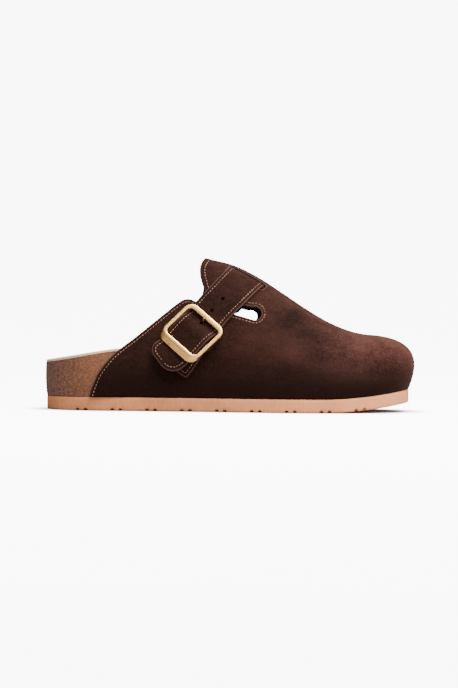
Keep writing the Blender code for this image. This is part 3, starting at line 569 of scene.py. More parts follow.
def activate(item: Object) -> Object:
    """Selects an object alone and makes it the active one.

    Args:
        item: The object.

    Returns:
        The same object.
    """
    deselect()
    item.select_set(True)
    bpy.context.view_layer.objects.active = item
    return item


def read_places(mesh: Mesh, kind: str = "co") -> Array:
    """Vertex places of a mesh, or their normals.

    Args:
        mesh: The mesh.
        kind: "co" for places or "normal" for normals.

    Returns:
        Three numbers per vertex.
    """
    flat = np.empty(len(mesh.vertices) * 3, np.float32)
    mesh.vertices.foreach_get(kind, flat)
    return flat.reshape(-1, 3).astype(float)


def write_places(mesh: Mesh, places: Array) -> None:
    """Puts a mesh's vertices at places."""
    mesh.vertices.foreach_set("co", places.astype(np.float32).ravel())
    mesh.update()


def lay_grid(name: str, grid: Array) -> Object:
    """A grid primitive whose vertices are laid over a surface.

    Args:
        name: Name of the new object.
        grid: Points by row and column.

    Returns:
        The new object, its vertices numbered row by row.
    """
    rows, columns = grid.shape[:2]
    deselect()
    bpy.ops.mesh.primitive_grid_add(x_subdivisions=columns - 1, y_subdivisions=rows - 1, size=2)
    item = bpy.context.object
    item.name = item.data.name = name
    unit_places = read_places(item.data)
    across = np.rint((unit_places[:, 0] + 1) / 2 * (columns - 1)).astype(int)
    down = np.rint((unit_places[:, 1] + 1) / 2 * (rows - 1)).astype(int)
    write_places(item.data, grid[down, across])
    return item


def join(items: Sequence[Object]) -> Object:
    """Joins objects into the first of them.

    Args:
        items: The objects.

    Returns:
        The joined object.
    """
    activate(items[0])
    for item in items:
        item.select_set(True)
    bpy.ops.object.join()
    return bpy.context.object


def weld(item: Object, reach: float = 0.00002, outward: bool = True) -> None:
    """Merges what lies close together.

    Args:
        item: The object.
        reach: Distance within which vertices are merged.
        outward: Whether to turn a closed shell's faces outward.
    """
    activate(item)
    bpy.ops.object.mode_set(mode="EDIT")
    bpy.ops.mesh.select_all(action="SELECT")
    bpy.ops.mesh.remove_doubles(threshold=reach)
    bpy.ops.mesh.dissolve_degenerate(threshold=reach)
    if outward:
        bpy.ops.mesh.normals_make_consistent(inside=False)
    bpy.ops.object.mode_set(mode="OBJECT")


def modify(item: Object, kind: str, **settings: Any) -> None:
    """Adds a modifier and applies it.

    Args:
        item: The object.
        kind: Blender's modifier type.
        settings: The modifier's own settings, by name.
    """
    step = item.modifiers.new(kind.lower(), kind)
    for name, value in settings.items():
        setattr(step, name, value)
    activate(item)
    bpy.ops.object.modifier_apply(modifier=step.name)


def soften(item: Object, angle: float) -> None:
    """Shades an object smooth, with edges sharper than an angle in degrees kept."""
    activate(item)
    bpy.ops.object.shade_smooth_by_angle(angle=math.radians(angle))


def close_shell(sheets: Sequence[Object], angle: float) -> Object:
    """Joins sheets that meet into one closed shell.

    Args:
        sheets: The sheets.
        angle: Edges sharper than this, in degrees, stay sharp.

    Returns:
        The shell.
    """
    item = join(sheets)
    weld(item)
    soften(item, angle)
    return item


def face_outward(item: Object, out: Array, where: Array) -> None:
    """Flips a sheet if its faces point against a direction.

    Args:
        item: The sheet.
        out: The direction.
        where: Which vertices are looked at.
    """
    if (read_places(item.data, "normal")[where] @ out).sum() < 0:
        item.data.flip_normals()
        item.data.update()


def thicken(item: Object, thickness: float, edge_round: float, outer_face: bool = False) -> None:
    """Gives a sheet of leather its thickness and rounds its cut edge, which takes the second finish.

    Args:
        item: The sheet.
        thickness: How thick the leather is.
        edge_round: Width of the rounding.
        outer_face: Whether the sheet is the outer face. If so, the inner face takes the third finish.
            Otherwise the sheet is the middle of the leather.
    """
    offset, inner = (-1, 2) if outer_face else (0, 0)
    modify(item, "SOLIDIFY", thickness=thickness, offset=offset, material_offset_rim=1, material_offset=inner)
    modify(item, "BEVEL", width=edge_round, segments=2, limit_method="ANGLE", angle_limit=math.radians(55))
    soften(item, 50.0)


def store(mesh: Mesh, name: str, values: Array) -> None:
    """Keeps a number per vertex for the materials to read."""
    kept = mesh.attributes.get(name) or mesh.attributes.new(name, "FLOAT", "POINT")
    kept.data.foreach_set("value", values.astype(np.float32))


def fetch(mesh: Mesh, name: str) -> Array:
    """Reads a number per vertex back."""
    values = np.empty(len(mesh.vertices), np.float32)
    mesh.attributes[name].data.foreach_get("value", values)
    return values.astype(float)


def trim(item: Object, keep: Callable[[Array, Array], Array], marks: Array | None = None) -> Array:
    """Cuts a sheet along a line, with the nearest vertices moved onto the line.

    Args:
        item: The sheet.
        keep: Gives, for places and marks, a distance that is positive on what stays.
        marks: Two numbers per vertex that run evenly over the sheet.

    Returns:
        The marks of the vertices that stay.
    """
    mesh = item.data
    places = read_places(mesh)
    marks = np.zeros((len(places), 2)) if marks is None else marks
    full = np.hstack([places, marks])
    values = keep(full[:, :3], full[:, 3:])
    edges = np.empty(len(mesh.edges) * 2, np.int32)
    mesh.edges.foreach_get("vertices", edges)
    a, b = edges.reshape(-1, 2).T
    crossing = values[a] * values[b] < 0
    a, b = a[crossing], b[crossing]
    low, high = np.zeros(len(a)), np.ones(len(a))
    for _ in range(TRIM_HALVINGS):
        middle = (low + high) / 2
        spots = full[a] + (full[b] - full[a]) * middle[:, None]
        same = np.sign(keep(spots[:, :3], spots[:, 3:])) == np.sign(values[a])
        low, high = np.where(same, middle, low), np.where(same, high, middle)
    spots = full[a] + (full[b] - full[a]) * low[:, None]
    moved = np.where(low < 0.5, a, b)
    order = np.argsort(-np.minimum(low, 1 - low), kind="stable")
    full[moved[order]] = spots[order]
    values[moved] = 0.0
    write_places(mesh, full[:, :3])
    store(mesh, "mark_u", full[:, 3])
    store(mesh, "mark_v", full[:, 4])
    work = bmesh.new()
    work.from_mesh(mesh)
    work.verts.ensure_lookup_table()
    gone = []
    for face in list(work.faces):
        shares = [values[vertex.index] for vertex in face.verts]
        if min(shares) >= 0 and max(shares) > 0:
            continue
        if min(shares) >= 0:
            middle = np.array([full[vertex.index] for vertex in face.verts]).mean(0)[None]
            if keep(middle[:, :3], middle[:, 3:])[0] > 0:
                continue
        gone.append(face)
        left = [vertex for vertex, share in zip(face.verts, shares) if share >= 0]
        if max(shares) > 0 and len(left) > 2:
            work.faces.new(left)
    bmesh.ops.delete(work, geom=gone, context="FACES")
    bmesh.ops.delete(work, geom=[vertex for vertex in work.verts if not vertex.link_faces], context="VERTS")
    work.to_mesh(mesh)
    work.free()
    return np.stack([fetch(mesh, "mark_u"), fetch(mesh, "mark_v")], axis=-1)


def line_distance(spots: Array, line: Array) -> Array:
    """Distance of 2-D spots from a line.

    Args:
        spots: The spots.
        line: Points of the line in order.

    Returns:
        A distance per spot.
    """
    start, run = line[:-1], np.diff(line, axis=0)
    gap = spots[:, None] - start[None]
    share = np.clip(dot(gap, run[None]) / np.maximum(dot(run, run), 1e-18)[None], 0.0, 1.0)
    return np.sqrt(((gap - share[..., None] * run[None]) ** 2).sum(-1).min(1))


def inside_polygon(spots: Array, ring: Array) -> Array:
    """Whether 2-D spots lie inside a ring.

    Args:
        spots: The spots.
        ring: Points of the ring in order.

    Returns:
        A truth value per spot.
    """
    a, b = ring, np.roll(ring, -1, axis=0)
    above = (a[None, :, 1] > spots[:, None, 1]) != (b[None, :, 1] > spots[:, None, 1])
    rise = b[:, 1] - a[:, 1]
    rise = np.where(np.abs(rise) < TINY, TINY, rise)
    cross = a[None, :, 0] + (b - a)[None, :, 0] * (spots[:, None, 1] - a[None, :, 1]) / rise[None]
    return (above & (spots[:, None, 0] < cross)).sum(1) % 2 == 1


def curve_through(places: Sequence[Sequence[float]], steps: int = 8) -> Array:
    """Smooth curve through points, whose slope at each point follows its two neighbours.

    Args:
        places: The points.
        steps: How many steps lead from each point to the next.

    Returns:
        Points of the curve.
    """
    rows = np.array(places, float)
    padded = np.vstack([2 * rows[0] - rows[1], rows, 2 * rows[-1] - rows[-2]])
    made = []
    for k in range(1, len(rows)):
        before, start, end, after = padded[k - 1:k + 3]
        for share in np.arange(steps) / steps:
            made.append(hermite(start, (end - before) / 2, end, (after - start) / 2, share))
    made.append(rows[-1])
    return np.array(made)


def contours(mesh: Mesh, values: Array, level: float) -> list[Line]:
    """Lines on a mesh along which a value per vertex has one level.

    Args:
        mesh: The mesh, seen from its front.
        values: A number per vertex.
        level: The number that the lines follow.

    Returns:
        A pair of arrays for each line: its points and the normals there.
    """
    places, normals = read_places(mesh), read_places(mesh, "normal")
    found: dict[int, tuple[Array, Array]] = {}
    for edge in mesh.edges:
        a, b = edge.vertices
        first, second = values[a] - level, values[b] - level
        if (first < 0) != (second < 0):
            share = first / (first - second)
            spot = places[a] + (places[b] - places[a]) * share
            found[edge.index] = (spot, unit(normals[a] + (normals[b] - normals[a]) * share))
    beside: dict[int, list[int]] = {index: [] for index in found}
    keys = {tuple(sorted(edge.vertices)): edge.index for edge in mesh.edges}
    for face in mesh.polygons:
        met = [keys[tuple(sorted(key))] for key in face.edge_keys]
        met = [index for index in met if index in found]
        if len(met) == 2:
            beside[met[0]].append(met[1])
            beside[met[1]].append(met[0])
    lines, seen = [], set()
    for first in sorted(found, key=lambda index: len(beside[index])):
        if first in seen:
            continue
        chain, current = [], first
        while current is not None:
            seen.add(current)
            chain.append(current)
            current = next((index for index in beside[current] if index not in seen), None)
        if len(chain) > 3:
            lines.append((np.array([found[i][0] for i in chain]), np.array([found[i][1] for i in chain])))
    return lines


# Shader building


class Value:
    """A socket that carries a number, with which sums are written as Python expressions."""

    def __init__(self, graph: "Graph", socket: bpy.types.NodeSocket) -> None:
        """Wraps a node's output socket."""
        self.graph = graph
        self.socket = socket

    def _math(self, operation: str, first: Any, second: Any) -> "Value":
        """A Math node for two values, each a number or a wrapped socket."""
        return self.graph.node("ShaderNodeMath", {"operation": operation}, {0: first, 1: second})

    def __add__(self, other: Any) -> "Value":
        """Sum."""
        return self._math("ADD", self, other)

    def __radd__(self, other: Any) -> "Value":
        """Sum, from a number."""
        return self._math("ADD", other, self)

    def __sub__(self, other: Any) -> "Value":
        """Difference."""
        return self._math("SUBTRACT", self, other)

    def __rsub__(self, other: Any) -> "Value":
        """Difference, from a number."""
        return self._math("SUBTRACT", other, self)

    def __mul__(self, other: Any) -> "Value":
        """Product."""
        return self._math("MULTIPLY", self, other)

    def __rmul__(self, other: Any) -> "Value":
        """Product, from a number."""
        return self._math("MULTIPLY", other, self)

    def step(self, low: float, high: float) -> "Value":
        """Smooth step between two levels.

        Args:
            low: Level at which the step is 0.
            high: Level at which it is 1, which may be the lower one.

        Returns:
            The wrapped step.
        """
        settings = {"interpolation_type": "SMOOTHSTEP"}
        sockets = {"Value": self, "From Min": min(low, high), "From Max": max(low, high)}
        made = self.graph.node("ShaderNodeMapRange", settings, sockets)
        return 1 - made if low > high else made


class Graph:
    """The node tree of a material or of the world, with its shader."""

    def __init__(self, owner: bpy.types.Material | bpy.types.World) -> None:
        """Turns on the owner's nodes and finds the shader.

        Args:
            owner: The new material or world.
        """
        owner.use_nodes = True
        self.tree = owner.node_tree
        kind = "Background" if isinstance(owner, bpy.types.World) else "Principled BSDF"
        self.shader = self.tree.nodes[kind]

    def node(self, kind: str, settings: dict[str, Any], sockets: dict[Any, Any], output: Any = 0) -> Value:
        """Adds a node.

        Args:
            kind: Blender's node type.
            settings: The node's own settings, by name.
            sockets: Inputs by name or number, each a value, a colour or a wrapped socket.
            output: The output to wrap, by name or number.

        Returns:
            The wrapped output.
        """
        made = self.tree.nodes.new(kind)
        for name, value in settings.items():
            setattr(made, name, value)
        for name, value in sockets.items():
            self.feed(made.inputs[name], value)
        return Value(self, made.outputs[output])

    def feed(self, socket: bpy.types.NodeSocket, value: Any) -> None:
        """Links a wrapped socket to an input, or sets the input to a constant.

        Args:
            socket: The input.
            value: A wrapped socket, a number, a vector or a colour.
        """
        if isinstance(value, Value):
            self.tree.links.new(value.socket, socket)
        elif isinstance(value, tuple) and socket.type == "RGBA":
            socket.default_value = (*value, 1.0)
        else:
            socket.default_value = value

    def set(self, **sockets: Any) -> None:
        """Feeds sockets of the shader, underscores in their names standing for spaces."""
        for name, value in sockets.items():
            self.feed(self.shader.inputs[name.replace("_", " ")], value)

    def object_place(self, scale: Triple = (1.0, 1.0, 1.0), shift: float = 0.0) -> Value:
        """Object coordinates, stretched and moved."""
        place = self.node("ShaderNodeTexCoord", {}, {}, "Object")
        return self.node("ShaderNodeMapping", {}, {"Vector": place, "Scale": scale, "Location": (shift,) * 3})

    def noise(self, place: Value, scale: float, detail: float = 2.0, rough: float = 0.5) -> Value:
        """Even noise from 0 to 1."""
        sockets = {"Vector": place, "Scale": scale, "Detail": detail, "Roughness": rough}
        return self.node("ShaderNodeTexNoise", {}, sockets, "Fac")

    def cells(self, place: Value, scale: float) -> Value:
        """Voronoi cells, as the distance to a cell's middle."""
        sockets = {"Vector": place, "Scale": scale}
        return self.node("ShaderNodeTexVoronoi", {"feature": "F1"}, sockets, "Distance")

    def attribute(self, name: str) -> Value:
        """A number kept per vertex."""
        return self.node("ShaderNodeAttribute", {"attribute_name": name}, {}, "Fac")

    def axis(self, place: Value, name: str) -> Value:
        """One coordinate of a place."""
        return self.node("ShaderNodeSeparateXYZ", {}, {0: place}, name)

    def blend(self, first: Any, second: Any, share: Any) -> Value:
        """Colour between two colours, by a Mix node whose colour sockets have the numbers 6, 7 and 2."""
        return self.node("ShaderNodeMix", {"data_type": "RGBA"}, {0: share, 6: first, 7: second}, 2)

    def bump(self, height: Value, distance: float, strength: float, under: Value | None = None) -> Value:
        """Normal from a height, over another bump if one is given.

        Args:
            height: The height, from 0 to 1.
            distance: How far a height of 1 stands up, in metres.
            strength: Share of the bump that is used.
            under: Normal of a coarser bump.

        Returns:
            The wrapped normal.
        """
        sockets: dict[Any, Any] = {"Height": height, "Distance": distance, "Strength": strength}
        if under is not None:
            sockets["Normal"] = under
        return self.node("ShaderNodeBump", {}, sockets, "Normal")


# Finishes


@dataclass(frozen=True)
class Finish:
    """A finish, which each kind paints on the nodes of a new material."""

    name: str

    def paint(self, graph: Graph) -> None:
        """Feeds the shader of a new material."""
        raise NotImplementedError

    def material(self) -> bpy.types.Material:
        """Builds the node material."""
        made = bpy.data.materials.new(self.name)
        self.paint(Graph(made))
        return made


@dataclass(frozen=True)
class Patch:
    """An oval of suede, seen from the side, that is brushed lighter or darker than the rest."""

    x: float
    z: float
    width: float
    height: float
    strength: float

    def lighten(self, x: Value, z: Value) -> Value:
        """How much lighter the nap is at places."""
        across, up = (x - self.x) * (1 / self.width), (z - self.z) * (1 / self.height)
        return (across * across + up * up).step(1.0, 0.0) * self.strength


@dataclass(frozen=True)
class Suede(Finish):
    """Napped brown leather: brushed patches, fine fibres, a soft sheen (a real sheen layer and a painted one
    at grazing angles), painted shade low down, painted light on the toe's top, and a paler line at its cut
    edge.
    """

    dark: Triple = (0.0066, 0.0019, 0.0011)
    light: Triple = (0.0545, 0.0205, 0.0147)
    raw: Triple = (0.090, 0.050, 0.041)
    sheen_tint: Triple = (0.80, 0.42, 0.32)
    sheen: float = 0.05
    edge_light: float = 0.42
    edge_from: float = 0.0011
    edge_to: float = 0.0003
    # Painted shade: below these heights the nap darkens towards the sole.
    painted_shade_from: float = 0.016
    painted_shade_to: float = 0.052
    # Painted light from above: past these places the nap lightens on the toe's top.
    painted_light_from: float = 0.052
    painted_light_to: float = 0.100
    patches: tuple[Patch, ...] = (
        Patch(0.034, 0.0480, 0.034, 0.017, 0.20),
        Patch(0.016, 0.0620, 0.016, 0.014, 0.10),
        Patch(0.030, 0.0800, 0.022, 0.014, 0.10),
        Patch(0.050, 0.0705, 0.011, 0.009, -0.13),
        Patch(0.058, 0.0550, 0.014, 0.010, -0.10),
        Patch(0.113, 0.0340, 0.014, 0.010, -0.16),
        Patch(0.077, 0.0480, 0.016, 0.012, -0.12),
    )

    def paint(self, graph: Graph) -> None:
        """Paints shade and light into the nap: darker towards the sole and the heel, lighter on the toe's top
        where light from above falls, and lighter at grazing angles as a painted sheen.

        Args:
            graph: Nodes of the new material.
        """
        place = graph.object_place()
        clouds = graph.noise(place, 34.0, 3.0, 0.55)
        brushed = graph.noise(graph.object_place((1.0, 1.0, 2.2)), 120.0, 4.0, 0.6)
        fibre = graph.noise(graph.object_place((1.0, 1.0, 0.45)), 1500.0, 3.0, 0.65)
        fleck = graph.noise(place, 620.0, 2.0, 0.6)
        nap = clouds.step(0.36, 0.66) * 0.36 + brushed.step(0.34, 0.68) * 0.24
        nap = nap + fibre.step(0.3, 0.72) * 0.18 + fleck.step(0.40, 0.64) * 0.36
        # Painted sheen: the colour lightens where the surface turns away from the view.
        painted_sheen = graph.node("ShaderNodeLayerWeight", {}, {"Blend": 0.5}, "Facing").step(0.15, 0.85)
        x, z = (graph.axis(place, name) for name in "XZ")
        # Painted shade and light: darker towards the sole, lighter on the toe's top, where light from above
        # falls.
        high = z.step(self.painted_shade_from, self.painted_shade_to)
        front = high * x.step(self.painted_light_from, self.painted_light_to)
        nap = nap * (0.05 + high * 0.27) + front * (0.14 + nap * 0.66) + painted_sheen * (0.05 + nap * 0.22)
        for patch in self.patches:
            nap = nap + patch.lighten(x, z)
        rim = graph.attribute("edge").step(self.edge_from, self.edge_to) * self.edge_light
        colour = graph.blend(graph.blend(self.dark, self.light, nap), self.raw, rim)
        low = graph.bump(brushed + clouds * 0.6, 0.0011, 0.35)
        fine = graph.bump(fibre + fleck * 0.7, 0.00035, 0.75, low)
        graph.set(Base_Color=colour, Roughness=0.80 + nap * 0.14, Normal=fine, Specular_IOR_Level=0.04)
        graph.set(Sheen_Weight=self.sheen, Sheen_Roughness=0.42, Sheen_Tint=self.sheen_tint)


@dataclass(frozen=True)
class RawEdge(Finish):
    """Cut edge of the leather: paler, fibrous and matt."""

    dark: Triple = (0.014, 0.0062, 0.0048)
    light: Triple = (0.105, 0.058, 0.046)

    def paint(self, graph: Graph) -> None:
        """Mixes the two browns by fibres and wear.

        Args:
            graph: Nodes of the new material.
        """
        place = graph.object_place()
        fibre = graph.noise(place, 1300.0, 4.0, 0.7)
        worn = graph.noise(place, 160.0, 3.0, 0.6)
        colour = graph.blend(self.dark, self.light, fibre.step(0.3, 0.7) * 0.6 + worn.step(0.35, 0.65) * 0.4)
        graph.set(Base_Color=colour, Roughness=0.88 + fibre * 0.1, Normal=graph.bump(fibre, 0.0003, 0.8))
        graph.set(Specular_IOR_Level=0.2)


@dataclass(frozen=True)
class Thread(Finish):
    """Waxed sewing thread, tan, with its twist."""

    dark: Triple = (0.075, 0.028, 0.013)
    light: Triple = (0.31, 0.145, 0.072)

    def paint(self, graph: Graph) -> None:
        """Mixes the two tans by wear and twist.

        Args:
            graph: Nodes of the new material.
        """
        worn = graph.noise(graph.object_place(), 260.0, 2.0)
        twist = graph.noise(graph.object_place(shift=0.3), 2600.0, 2.0)
        colour = graph.blend(self.dark, self.light, worn.step(0.30, 0.62) * 0.8 + twist * 0.25)
        graph.set(Base_Color=colour, Roughness=0.55 + twist * 0.2, Normal=graph.bump(twist, 0.00015, 0.6))


@dataclass(frozen=True)
class Cork(Finish):
    """Pressed cork: orange-brown grains, speckled grey and brown round the heel's back."""

    name: str = "pressed_cork"
    dark: Triple = (0.050, 0.017, 0.008)
    light: Triple = (0.170, 0.064, 0.026)
    grey: Triple = (0.180, 0.080, 0.052)
    granule: Triple = (0.30, 0.19, 0.145)
    heel_from: float = -0.128
    heel_to: float = -0.090

    def paint(self, graph: Graph) -> None:
        """Lays speckled cork over plain cork towards the heel's back.

        Args:
            graph: Nodes of the new material.
        """
        place = graph.object_place()
        grains = graph.cells(place, 520.0)
        fine = graph.cells(place, 1100.0)
        crumb = graph.noise(place, 900.0, 4.0, 0.7)
        patch = graph.noise(place, 60.0, 2.0)
        heel = (graph.axis(place, "X") + patch * 0.016).step(self.heel_to, self.heel_from)
        seam = grains.step(0.30, 0.62)
        body = graph.blend(self.light, self.dark, seam * 0.30 + crumb.step(0.42, 0.70) * 0.42 + patch * 0.12)
        speckle = graph.blend(self.grey, self.dark, crumb.step(0.40, 0.58) * 0.75 + seam * 0.25)
        pale = graph.blend(speckle, self.granule, fine.step(0.24, 0.10) * 0.75)
        pits = crumb * (0.4 + heel * 1.4) + grains * 0.7
        graph.set(Base_Color=graph.blend(body, pale, heel), Roughness=0.72 + crumb * 0.2)
        graph.set(Normal=graph.bump(pits, 0.0005, 0.7), Specular_IOR_Level=0.3)


@dataclass(frozen=True)
class Foam(Finish):
    """Light foam rubber with trimming marks that run up its sides, a little darker at the heel."""

    name: str = "foam_outsole"
    dark: Triple = (0.33, 0.112, 0.040)
    light: Triple = (0.68, 0.262, 0.108)
    bottom_tone: Triple = (0.16, 0.10, 0.075)
    heel_at: float = -0.10
    toe_at: float = 0.10
    bottom_from: float = 0.0016
    bottom_to: float = 0.0002

    def paint(self, graph: Graph) -> None:
        """Mixes the two tans by marks, patches and place, and darkens it towards the bottom.

        Args:
            graph: Nodes of the new material.
        """
        place = graph.object_place()
        marks = graph.noise(graph.object_place((1.0, 1.0, 0.12)), 1300.0, 3.0, 0.6)
        cells = graph.noise(place, 2200.0, 2.0)
        patch = graph.noise(place, 55.0, 3.0)
        # Darker towards the bottom, in a thin band along the ground.
        bottom_share = graph.axis(place, "Z").step(self.bottom_from, self.bottom_to) * 0.35
        forward = graph.axis(place, "X").step(self.heel_at, self.toe_at)
        share = marks.step(0.25, 0.75) * 0.30 + patch.step(0.3, 0.7) * 0.20 + cells * 0.15 + forward * 0.40
        colour = graph.blend(graph.blend(self.dark, self.light, share), self.bottom_tone, bottom_share)
        graph.set(Base_Color=colour, Roughness=0.78 + marks * 0.14)
        graph.set(Normal=graph.bump(marks + cells * 0.6, 0.00028, 0.6), Specular_IOR_Level=0.3)


@dataclass(frozen=True)
class Lining(Finish):
    """Pale split leather over the footbed."""

    name: str = "pale_lining"
    dark: Triple = (0.38, 0.215, 0.118)
    light: Triple = (0.64, 0.44, 0.285)

    def paint(self, graph: Graph) -> None:
        """Mixes the two creams by nap and patches.

        Args:
            graph: Nodes of the new material.
        """
        place = graph.object_place()
        nap = graph.noise(place, 1500.0, 3.0, 0.65)
        patch = graph.noise(place, 45.0, 3.0)
        colour = graph.blend(self.dark, self.light, nap.step(0.3, 0.7) * 0.45 + patch.step(0.3, 0.7) * 0.5)
        graph.set(Base_Color=colour, Roughness=0.86 + nap * 0.1, Normal=graph.bump(nap, 0.0003, 0.6))
        graph.set(Sheen_Weight=0.15, Specular_IOR_Level=0.2)


@dataclass(frozen=True)
class Brass(Finish):
    """Brushed pale brass with fine lines, a little tarnish, and painted shade where its mesh is marked."""

    base: Triple = (0.80, 0.46, 0.155)
    # Tarnish colour, also used as painted shade on the marked lower bar.
    worn: Triple = (0.44, 0.21, 0.062)
    line_scale: Triple = (1.0, 0.2, 0.2)

    def paint(self, graph: Graph) -> None:
        """Tarnishes the metal in patches, and paints shade where its mesh carries the worn attribute: the
        lower bar's outer face, darkened as if it reflected less light.

        Args:
            graph: Nodes of the new material.
        """
        lines = graph.noise(graph.object_place(self.line_scale), 3200.0, 2.0)
        tarnish = graph.noise(graph.object_place(), 210.0, 3.0, 0.6)
        # The noise is real tarnish; the worn attribute carries painted shade on the lower bar's outer face.
        share = tarnish.step(0.46, 0.78) * 0.6 + graph.attribute("worn") * 0.6
        graph.set(Base_Color=graph.blend(self.base, self.worn, share), Metallic=1.0)
        graph.set(Roughness=0.20 + lines * 0.12 + tarnish * 0.12, Normal=graph.bump(lines, 0.00005, 0.5))


@dataclass(frozen=True)
class Paper(Finish):
    """Pale paper of the floor, which glows to the camera except where the shoe shades it."""

    name: str = "studio_paper"
    glow: float = 9.0
    paper: float = 0.42
    grain_dark: float = 0.985
    shade_reach: float = 0.022
    shade_samples: int = 16

    def paint(self, graph: Graph) -> None:
        """Adds the glow to plain paper.

        Args:
            graph: Nodes of the new material.
        """
        grain = graph.noise(graph.object_place(), 40.0, 2.0)
        shades = ((self.paper,) * 3, (self.paper * self.grain_dark,) * 3)
        graph.set(Base_Color=graph.blend(*shades, grain), Roughness=0.95)
        seen = graph.node("ShaderNodeLightPath", {}, {}, "Is Camera Ray")
        settings, sockets = {"samples": self.shade_samples}, {"Distance": self.shade_reach}
        sky = graph.node("ShaderNodeAmbientOcclusion", settings, sockets, "AO")
        lit = seen * (sky * sky * sky) * self.glow
        glow = graph.node("ShaderNodeEmission", {}, {"Color": (1.0, 1.0, 1.0), "Strength": lit})
        both = graph.node("ShaderNodeAddShader", {}, {0: Value(graph, graph.shader.outputs[0]), 1: glow})
        graph.feed(graph.tree.nodes["Material Output"].inputs["Surface"], both)


# Pieces


def hand_over(item: Object, name: str, nodes: Sequence[str], finishes: Sequence[Finish]) -> None:
    """Puts a finished mesh in the row frame and gives it its name, finish and body.

    Args:
        item: The mesh object, measured from the heel's back end.
        name: The piece's name.
        nodes: CAD nodes that the piece stands for.
        finishes: Its finishes, in the order of its faces' numbers.
    """
    item.data.transform(Matrix.Translation(Vector((-LAST.sole_length / 2, 0, 0))))
    item.name = item.data.name = name
    numbers = np.empty(len(item.data.polygons), np.int32)
    item.data.polygons.foreach_get("material_index", numbers)
    item.data.materials.clear()
    for finish in finishes:
        item.data.materials.append(finish.material())
    item.data.polygons.foreach_set("material_index", np.minimum(numbers, len(finishes) - 1))
    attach(item, BODY)
    if nodes:
        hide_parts(*nodes)
    triangles = sum(len(face.vertices) - 2 for face in item.data.polygons)
    LOG.info("%s: %d triangles", name, triangles)


